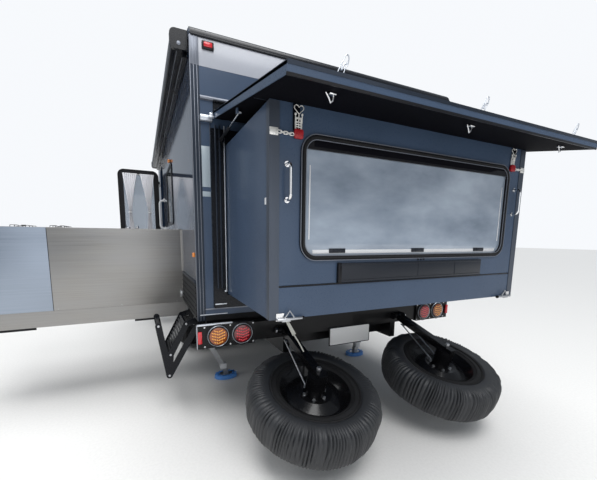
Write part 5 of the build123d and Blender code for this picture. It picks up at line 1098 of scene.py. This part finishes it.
# Tread rows: offset, width and length of a block, its lean in radians, and its shift in pitches
TREAD_ROWS = ((-0.074, 0.030, 0.030, 0.20, 0.5), (-0.036, 0.028, 0.026, -0.45, 0.0),
              (0.0, 0.026, 0.026, 0.50, 0.5), (0.036, 0.028, 0.026, -0.45, 0.0),
              (0.074, 0.030, 0.030, 0.20, 0.5))


def tyre_section(radius, half):
    """A tyre's closed section, outside and inside, for its radius and half its width."""
    tread = radius - 0.012
    outside = [(0.213, 0.72 * half), (0.222, 0.80 * half), (0.245, 0.90 * half), (0.285, 0.985 * half),
               (0.315, half), (0.345, 0.975 * half), (tread - 0.014, 0.90 * half), (tread, 0.80 * half),
               (tread + 0.001, 0.40 * half), (tread + 0.002, 0)]
    inside = [(0.213, -0.60 * half), (0.300, -0.84 * half), (0.340, 0.0), (0.300, 0.84 * half),
              (0.213, 0.60 * half)]
    return outside + [(out, -across) for out, across in outside[-2::-1]] + inside


def add_tread(bm, centre, radius, half, pitches):
    """Tread blocks in rows and lugs on both shoulders."""
    for index in range(pitches):
        for offset, width, length, lean, shift in TREAD_ROWS:
            turn = Matrix.Rotation((index + shift) * 2 * pi / pitches, 4, "Y")
            place = Matrix.Translation((radius - 0.007, offset, 0)) @ Matrix.Rotation(lean, 4, "X")
            add_block(bm, (-0.010, -width / 2, -length / 2), (0.0065, width / 2, length / 2), 0.002,
                      Matrix.Translation(centre) @ turn @ place)
        turn = Matrix.Rotation((index + 0.25) * 2 * pi / pitches, 4, "Y")
        for face in (-1, 1):
            place = Matrix.Translation((radius - 0.030, face * 0.86 * half, 0))
            add_block(bm, (-0.026, -0.006, -0.012), (0.024, 0.006, 0.012), 0.003,
                      Matrix.Translation(centre) @ turn @ place @ Matrix.Rotation(-face * 0.95, 4, "Z"))


class CAMPER_OT_road_tyres(bpy.types.Operator):
    """Road tyres with tread blocks and wheel nuts"""
    bl_idname = "camper.road_tyres"
    bl_label = "Road tyres"

    def execute(self, context):
        for side, sign in (("left", 1), ("right", -1)):
            low, high = node_box("tyre_" + side)
            centre, radius, half = (low + high) / 2, (high.z - low.z) / 2, (high.y - low.y) / 2
            tyre, nuts = bmesh.new(), bmesh.new()
            add_turned(tyre, tyre_section(radius, half), centre, ACROSS, 96)
            for rib in (0.236, 0.262):
                for face in (-1, 1):
                    section = ((rib, -0.004), (rib + 0.003, 0.003), (rib + 0.006, -0.004))
                    add_turned(tyre, section, centre + ACROSS * face * 0.93 * half, ACROSS * face, 96)
            add_tread(tyre, centre, radius, half, context.scene.camper_sizes.tread_pitches)
            piece = place_piece("road_tyre_" + side, tyre, "tyre_rubber", "wheel_" + side, sharp=40.0)
            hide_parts("tyre_" + side)

            rim_low, rim_high = node_box("rim_" + side)
            face = (rim_high.y if sign > 0 else rim_low.y) - sign * 0.052
            for turn in range(6):
                angle = turn * pi / 3
                place = centre + Vector((cos(angle), 0, sin(angle))) * STUD_CIRCLE
                place.y = face
                add_rod(nuts, place, place + ACROSS * sign * 0.034, 0.0115, 6, 0.001)
            place_piece("wheel_nuts_" + side, nuts, "chrome_plate", "wheel_" + side)
        return {"FINISHED"}


# Kitchen

TRAY_INSET = 0.0123
TRAY_SHEET = 0.0002
KITCHEN_SEAM = 2.072
BURNER_SECTION = ((0.0, 0.0), (0.0, 0.014), (0.026, 0.014), (0.032, 0.008), (0.045, 0.006), (0.045, 0.0))


class CAMPER_OT_kitchen_panels(bpy.types.Operator):
    """Brushed panels, pull slots and seams, latch, rivets, hob and tap of the slide-out kitchen"""
    bl_idname = "camper.kitchen_panels"
    bl_label = "Kitchen"

    def execute(self, context):
        low, high, back, front = KITCHEN_LOW, KITCHEN_HIGH, KITCHEN_LOW.x, KITCHEN_HIGH.x
        base, wall, seam, top = GROUND + 0.742, SIDE_Y + 0.012, KITCHEN_SEAM, KITCHEN_TOP
        tray_back, tray_front = back + TRAY_INSET, front - TRAY_INSET
        place_shapes("kitchen_panels", "brushed_steel", "kitchen", [
            ((back - 0.0015, wall, base + 0.001), (back, seam - 0.002, top - 0.004), 0.0005),
            ((front, wall, base + 0.001), (front + 0.0015, seam - 0.002, top - 0.004), 0.0005),
            ((tray_back - TRAY_SHEET, wall, low.z + 0.001), (tray_back, high.y - 0.032, base - 0.001), 0.0),
            ((tray_front, wall, low.z + 0.001),
             (tray_front + TRAY_SHEET, high.y - 0.032, base - 0.001), 0.0)], origin=FRAME_ORIGIN)
        # Outer panels whose blue tint is a painted reflection of the sky.
        place_shapes("kitchen_outer_panels", "steel_with_painted_sky", "kitchen", [
            ((back - 0.004, seam + 0.001, base + 0.001), (back, high.y + 0.002, top - 0.002), 0.001),
            ((front, seam + 0.001, base + 0.001), (front + 0.004, high.y + 0.002, top - 0.002), 0.001),
            ((back - 0.004, high.y, base), (front + 0.004, high.y + 0.003, top - 0.002), 0.001)],
            origin=FRAME_ORIGIN)
        slots = [((x, y0, low.z - 0.018), (x + 0.006, y1, low.z + 0.004), 0.0025)
                 for y0, y1 in ((1.334, 1.509), (2.195, 2.430))
                 for x in (tray_back + TRAY_SHEET, tray_front - TRAY_SHEET - 0.006)]
        for x in (back - 0.0008, front - 0.0012):
            slots += [((x, wall, base + 0.0002), (x + 0.002, high.y - 0.004, base + 0.002), 0.0004),
                      ((x, seam - 0.002, base), (x + 0.002, seam + 0.001, top - 0.006), 0.0004)]
        place_shapes("kitchen_pull_slots", "black_mould", "kitchen", slots, origin=FRAME_ORIGIN)
        place_shapes("kitchen_latch", "zinc_plate", "chassis", [
            ((-0.022, 0, 0.800), (-0.010, 0.030, 0.845), 0.003)],
            [((-0.016, 0.024, 0.790), (-0.016, 0.024, 0.856), 0.006, 24, 0.001)],
            origin=Vector((back, SIDE_Y, GROUND)))
        place_shapes("kitchen_rivets", "zinc_plate", "kitchen", origin=Vector((back, 0, base)), rods=[
            ((-0.003, y, 0.012), (-0.001, y, 0.012), 0.004, 12, 0.0) for y in (1.16, 1.60, 2.04, 2.56)])

        hob = bmesh.new()
        for y in (2.03, 2.28):
            for x in (back + 0.20, back + 0.38):
                place = Vector((x, y, top - 0.008))
                add_turned(hob, BURNER_SECTION, place, UP, 32)
                for turn in range(4):
                    angle = turn * pi / 2 + pi / 4
                    arm = Vector((cos(angle), sin(angle), 0))
                    points = (arm * 0.070, arm * 0.066 + UP * 0.024, arm * 0.020 + UP * 0.024)
                    add_wire(hob, shifted(place, points), 0.0025)
        place_piece("kitchen_hob", hob, "black_coat", "kitchen")
        tap = Vector((back + 0.055, 1.52, top))
        place_shapes("kitchen_tap", "chrome_plate", "kitchen", origin=tap, rods=[
            ((0, 0, 0), (0, 0, 0.012), 0.020, 24, 0.002),
            ((0, -0.07, 0), (0, -0.07, 0.026), 0.012, 24, 0.002)])
        return {"FINISHED"}


# Door and curtains

TIE_SHARE = 0.47
TIE_PULL = 0.022
TIE_SECTION = ((0.022, -0.011), (0.0265, -0.010), (0.0275, 0.0), (0.0265, 0.010), (0.022, 0.011))
CURTAIN_FOOT = 0.150
CURTAIN_TOP = 0.205
DOOR_SEAL_Y = 1.130


def curtain_width(share, waist):
    """Width of a curtain at a share of its height, tied in the middle."""
    if share < TIE_SHARE:
        return waist + (CURTAIN_FOOT - waist) * (1 - share / TIE_SHARE) ** 1.4
    return waist + (CURTAIN_TOP - waist) * ((share - TIE_SHARE) / (1 - TIE_SHARE)) ** 1.25


class CAMPER_OT_door_curtains(bpy.types.Operator):
    """Two curtains on the open door, their ties and rods, and the door's seal and lock"""
    bl_idname = "camper.door_curtains"
    bl_label = "Door"

    def execute(self, context):
        sizes = context.scene.camper_sizes
        folds = sizes.curtain_folds
        low, high = CURTAIN_LOW, CURTAIN_HIGH
        plane = (low.x + high.x) / 2 - 0.002
        height = high.z - low.z
        cut_width = 0.34
        for side, sign in (("near", -1), ("far", 1)):
            centre = (low.y + high.y) / 2 + sign * 0.118
            cloth, tie = bmesh.new(), bmesh.new()
            bmesh.ops.create_grid(cloth, x_segments=folds * 12, y_segments=96, size=0.5)
            for vert in cloth.verts:
                u, share = vert.co.x, vert.co.y + 0.5
                width = curtain_width(share, sizes.curtain_waist)
                depth = min(0.0105, width / folds / 4 * sqrt(max(0.0, (cut_width / width) ** 2 - 1)))
                phase = 2 * pi * (folds * u + 0.05 * sin(5 * share + sign))
                wander = 0.004 * sin(7 * share + sign * 2.0)
                pull = sign * TIE_PULL * (1 - abs(share - TIE_SHARE) / (1 - TIE_SHARE))
                vert.co = (plane + depth * sin(phase), centre + pull + wander + u * width,
                           low.z + share * height)
            bmesh.ops.recalc_face_normals(cloth, faces=cloth.faces[:])
            curtain = place_piece("curtain_" + side, cloth, "curtain_cloth", "door", sharp=60.0)
            thicken(curtain, 0.0008)
            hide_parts("door_curtains")

            place = Vector((plane, centre + sign * TIE_PULL, low.z + TIE_SHARE * height))
            add_turned(tie, TIE_SECTION, place, UP, 32)
            squeeze(tie, (0.52, 1.0, 1.0), place)
            place_piece("curtain_tie_" + side, tie, "white_paint", "door")

        place_shapes("curtain_rods", "white_paint", "door", origin=FRAME_ORIGIN, rods=[
            ((plane, low.y - 0.010, z), (plane, high.y + 0.010, z), 0.003, 12, 0.0)
            for z in (high.z - 0.012, low.z + 0.010)])

        seal = bmesh.new()
        wide, tall = DOOR_HIGH.y - DOOR_SEAL_Y, DOOR_HIGH.z - DOOR_LOW.z
        middle = Vector((DOOR_LOW.x, (DOOR_HIGH.y + DOOR_SEAL_Y) / 2, (DOOR_HIGH.z + DOOR_LOW.z) / 2))
        add_border(seal, middle, (wide - 0.010, tall - 0.010, 0.085), (wide - 0.034, tall - 0.034, 0.075),
                   0.007, 0.002, 8)
        place_piece("door_seal", seal, "soft_rubber", "door")
        place_shapes("door_lock", "black_mould", "door", [
            ((0.0, -0.030, -0.075), (0.010, 0.030, 0.075), 0.006),
            ((0.010, -0.012, -0.055), (0.020, 0.012, 0.045), 0.005)],
            origin=Vector((DOOR_HIGH.x - 0.005, DOOR_HIGH.y - 0.055, GROUND + 1.42)))
        return {"FINISHED"}


# Awning, steps, stabilisers and side walls

class CAMPER_OT_awning_details(bpy.types.Operator):
    """Ribs, folded arms' brackets, bright lines and end caps' buttons of the awning"""
    bl_idname = "camper.awning_details"
    bl_label = "Awning"

    def execute(self, context):
        low, high = AWNING_LOW, AWNING_HIGH
        start, end = low.x + 0.03, high.x - 0.03
        case, middle = high.z - 0.115, (low.y + high.y) / 2
        place_shapes("awning_ribs", "black_rail", "chassis", [
            ((start, high.y - 0.035, case + 0.003), (end, high.y - 0.010, case + 0.011), 0.002),
            ((start, low.y + 0.012, case + 0.001), (end, low.y + 0.028, case + 0.010), 0.002),
            *(((x, low.y, low.z - 0.002), (x + 0.060, low.y + 0.034, case + 0.006), 0.004)
              for x in (low.x + 0.55, low.x + 1.90, high.x - 0.60))], origin=FRAME_ORIGIN)
        place_shapes("awning_bright_lines", "pale_trim", "chassis", [
            *(((start, high.y - 0.0075, z), (end, high.y - 0.0045, z + 0.003), 0.001)
              for z in (high.z - 0.040, high.z - 0.078)),
            ((start, high.y - 0.046, case + 0.0035), (end, high.y - 0.042, case + 0.007), 0.001),
            ((start + 0.02, low.y + 0.026, low.z + 0.004),
             (end - 0.02, low.y + 0.030, low.z + 0.008), 0.001)],
            [((x, middle, case + 0.032), (x + 0.004, middle, case + 0.032), 0.012, 24, 0.001)
             for x in (low.x - 0.0025, high.x - 0.0015)], origin=FRAME_ORIGIN)
        return {"FINISHED"}


# Start and end of each tread and the bolts, in Y and Z
STEP_TREADS = (((1.154, 0.689), (1.271, 0.468)), ((1.302, 0.425), (1.344, 0.690)))
STEP_BOLTS = ((1.154, 0.689), (1.271, 0.468), (1.284, 0.312), (1.344, 0.690))
PAD_PITCH = 0.026
FOOT_SECTION = ((0.0, 0.0165), (0.060, 0.0165), (0.064, 0.030), (0.072, 0.034), (0.092, 0.034),
                (0.101, 0.028), (0.104, 0.016), (0.108, 0.003), (0.108, 0.0), (0.0, 0.0))


def add_pads(bm, low, high):
    """Rows of grip pads on both faces of a step's treads."""
    for start, end in STEP_TREADS:
        first, last = at(0, *start), at(0, *end)
        run = (last - first).normalized()
        reach = (last - first).length
        pads = int(reach / PAD_PITCH)
        for side in (-1, 1):
            out = Vector((0, run.z, -run.y)) * side
            for index in range(pads):
                middle = first + out * 0.008 + run * (index + 0.5) * reach / pads
                middle.x = low.x + 0.028
                corners = (run * 0.007, run * -0.007, out * 0.003 - run * 0.005, out * 0.003 + run * 0.005)
                add_plate(bm, shifted(middle, corners), (high.x - low.x - 0.056, 0, 0), 0.0008)


class CAMPER_OT_step_treads(bpy.types.Operator):
    """Grip pads and bolts of the folding steps, and the stabilisers' blue feet and clamps"""
    bl_idname = "camper.step_treads"
    bl_label = "Steps and feet"

    def execute(self, context):
        for name in ("step_rear", "step_entry"):
            low, high = node_box(name)
            pads = bmesh.new()
            add_pads(pads, low, high)
            place_piece(name + "_pads", pads, "grey_pad", name)
            place_shapes(name + "_bolts", "zinc_plate", name, origin=Vector((0, 0, GROUND)), rods=[
                ((x, y, z), (x + reach, y, z), 0.009, 6, 0.001) for y, z in STEP_BOLTS
                for x, reach in ((low.x + 0.020, -0.005), (high.x - 0.020, 0.005))])

        for side, sign in (("left", 1), ("right", -1)):
            low, high = node_box("stabiliser_" + side)
            centre = Vector(((low.x + high.x) / 2, sign * 0.750, low.z))
            foot = bmesh.new()
            add_turned(foot, FOOT_SECTION, centre + UP * 0.0005, UP, 48)
            for rib in range(12):
                add_block(foot, (0.062, -0.003, 0.016), (0.104, 0.003, 0.037), 0.001,
                          Matrix.Translation(centre) @ Matrix.Rotation(rib * pi / 6, 4, "Z"))
            squeeze(foot, (0.74, 1.0, 1.0), centre)
            place_piece("stabiliser_foot_" + side, foot, "blue_foot", "stabiliser_" + side)
            place_shapes("stabiliser_clamp_" + side, "white_paint", "stabiliser_" + side, [
                ((-0.028, -0.030, -0.026), (0.028, 0.030, 0.026), 0.003)],
                origin=at(0.745, sign * 0.775, 0.115))
        return {"FINISHED"}


class CAMPER_OT_side_details(bpy.types.Operator):
    """Dark lines over the cladding and the porch lamp"""
    bl_idname = "camper.side_details"
    bl_label = "Side walls"

    def execute(self, context):
        low, high = node_box("side_cladding")
        place_shapes("side_line_left", "dark_trim", "chassis", [
            ((x0, SIDE_Y, high.z), (x1, SIDE_Y + 0.012, high.z + 0.010), 0.002)
            for x0, x1 in ((low.x, low.x + 0.76), (WALL_X + 1.418, WALL_X + 2.88), (WALL_X + 3.56, high.x))],
            origin=FRAME_ORIGIN)
        place_shapes("side_line_right", "dark_trim", "chassis", [
            ((low.x, -SIDE_Y - 0.012, high.z), (high.x, -SIDE_Y, high.z + 0.010), 0.002)],
            origin=FRAME_ORIGIN)
        place_shapes("porch_lamp", "amber_lens", "chassis", [
            ((1.640, SIDE_Y, 2.118), (1.700, SIDE_Y + 0.026, 2.150), 0.008)])
        return {"FINISHED"}


# Stage: the photo's viewpoint, its place, angles, lens and shift

CAMERA_PLACE = (-2.127, 1.421, 1.320)
CAMERA_YAW = -0.4304
CAMERA_PITCH = 0.1409
CAMERA_ROLL = 0.0092
CAMERA_LENS = 19.098
CAMERA_SHIFT = (0.0176, 0.0721)
SENSOR = 36.0


def camera_matrix():
    """The photo's viewpoint: forward, right and up from yaw, pitch and roll."""
    ahead = Vector((cos(CAMERA_YAW), sin(CAMERA_YAW), 0))
    forward = ahead * cos(CAMERA_PITCH) - UP * sin(CAMERA_PITCH)
    level = Vector((ahead.y, -ahead.x, 0))
    upright = level.cross(forward)
    right = level * cos(CAMERA_ROLL) + upright * sin(CAMERA_ROLL)
    up = upright * cos(CAMERA_ROLL) - level * sin(CAMERA_ROLL)
    return Matrix.Translation(at(*CAMERA_PLACE)) @ Matrix((right, up, -forward)).transposed().to_4x4()


def studio_world():
    """White for the camera and through glass, softer light for everything else."""
    world = bpy.data.worlds.new("studio")
    bpy.context.scene.world = world
    world.use_nodes = True
    tree = world.node_tree
    soft, white = tree.nodes["Background"], tree.nodes.new("ShaderNodeBackground")
    for background, tone, strength in ((soft, (0.82, 0.90, 1.0, 1.0), 0.36),
                                       (white, (0.93, 0.95, 0.98, 1.0), 1.0)):
        background.inputs["Color"].default_value = tone
        background.inputs["Strength"].default_value = strength
    path = tree.nodes.new("ShaderNodeLightPath")
    either = tree.nodes.new("ShaderNodeMath")
    either.operation = "MAXIMUM"
    mix = tree.nodes.new("ShaderNodeMixShader")
    for source, target in (
            (path.outputs["Is Camera Ray"], either.inputs[0]),
            (path.outputs["Is Transmission Ray"], either.inputs[1]),
            (either.outputs[0], mix.inputs[0]), (soft.outputs[0], mix.inputs[1]),
            (white.outputs[0], mix.inputs[2]),
            (mix.outputs[0], tree.nodes["World Output"].inputs["Surface"])):
        tree.links.new(source, target)


def place_holder(name, data, matrix):
    """Put a lamp or camera in the scene."""
    holder = bpy.data.objects.new(name, data)
    bpy.context.scene.collection.objects.link(holder)
    holder.matrix_world = matrix
    return holder


def add_softbox(name, place, target, size, power):
    lamp = bpy.data.lights.new(name, "AREA")
    lamp.shape = "RECTANGLE"
    lamp.size, lamp.size_y = size
    lamp.energy = power
    place_holder(name, lamp, aimed(place, place - target))


def add_overhead(name, place, power, spread):
    """Wide light from straight above that keeps the floor evenly pale."""
    lamp = bpy.data.lights.new(name, "SUN")
    lamp.energy = power
    lamp.angle = spread
    place_holder(name, lamp, Matrix.Translation(place))


def floor_material(tone):
    graph = NodeGraph("studio_floor")
    speckle = graph.noise(60.0, 6.0)
    shade = graph.cloudy(graph.ranged(speckle, 0.0, 1.0), tone, 0.03)
    graph.join(shade, graph.shader.inputs["Base Color"])
    graph.set(Roughness=0.85)
    return graph.material


class CAMPER_OT_stage(bpy.types.Operator):
    """Pale floor, soft lights and the photo's viewpoint"""
    bl_idname = "camper.stage"
    bl_label = "Stage"

    def execute(self, context):
        scene = context.scene
        ground = bmesh.new()
        bmesh.ops.create_grid(ground, x_segments=1, y_segments=1, size=60.0)
        bmesh.ops.translate(ground, vec=(WALL_X, 0, GROUND - 0.0005), verts=ground.verts[:])
        mesh = bpy.data.meshes.new("floor")
        ground.to_mesh(mesh)
        ground.free()
        mesh.materials.append(floor_material(tuple(scene.camper_colours.floor)))
        floor = bpy.data.objects.new("floor", mesh)
        scene.collection.objects.link(floor)

        studio_world()
        target = at(0.2, 0.0, 1.2)
        add_softbox("key", at(-4.2, 1.2, 6.4), target, (4.5, 3.5), 230.0)
        add_softbox("fill", at(-6.0, 0.6, 1.8), target, (5.0, 2.5), 50.0)
        add_softbox("door_light", at(1.6, 5.2, 4.6), at(3.4, 1.3, 1.7), (3.0, 2.0), 60.0)
        add_overhead("overhead", at(0, 0, 9.0), 2.1, radians(50))

        camera = bpy.data.cameras.new("photo_view")
        camera.sensor_width = SENSOR
        camera.lens = CAMERA_LENS
        camera.shift_x, camera.shift_y = CAMERA_SHIFT
        camera.clip_end = 200.0
        scene.camera = place_holder("photo_view", camera, camera_matrix())
        scene.view_settings.view_transform = "Standard"
        return {"FINISHED"}


class CAMPER_PT_panel(bpy.types.Panel):
    """The camper's pieces, sizes and colours"""
    bl_label = "Camper Trailer"
    bl_idname = "CAMPER_PT_panel"
    bl_space_type = "VIEW_3D"
    bl_region_type = "UI"
    bl_category = "Camper"

    def draw(self, context):
        layout = self.layout
        for operator in OPERATORS:
            layout.operator(operator.bl_idname)
        for group in (context.scene.camper_sizes, context.scene.camper_colours):
            for name in group.bl_rna.properties.keys():
                if name not in ("name", "rna_type"):
                    layout.prop(group, name)


OPERATORS = (
    CAMPER_OT_node_finishes, CAMPER_OT_rear_wall, CAMPER_OT_box_trim, CAMPER_OT_box_latches,
    CAMPER_OT_lid_trim, CAMPER_OT_lamps, CAMPER_OT_number_plate, CAMPER_OT_spare_covers,
    CAMPER_OT_road_tyres, CAMPER_OT_kitchen_panels, CAMPER_OT_door_curtains, CAMPER_OT_awning_details,
    CAMPER_OT_step_treads, CAMPER_OT_side_details, CAMPER_OT_stage,
)
CLASSES = (CamperSizes, CamperColours, *OPERATORS, CAMPER_PT_panel)


def register():
    for item in CLASSES:
        bpy.utils.register_class(item)
    bpy.types.Scene.camper_sizes = PointerProperty(type=CamperSizes)
    bpy.types.Scene.camper_colours = PointerProperty(type=CamperColours)


def unregister():
    del bpy.types.Scene.camper_colours
    del bpy.types.Scene.camper_sizes
    for item in reversed(CLASSES):
        bpy.utils.unregister_class(item)


def main():
    register()
    for operator in OPERATORS:
        family, name = operator.bl_idname.split(".")
        getattr(getattr(bpy.ops, family), name)()


if __name__ == "__main__":
    main()
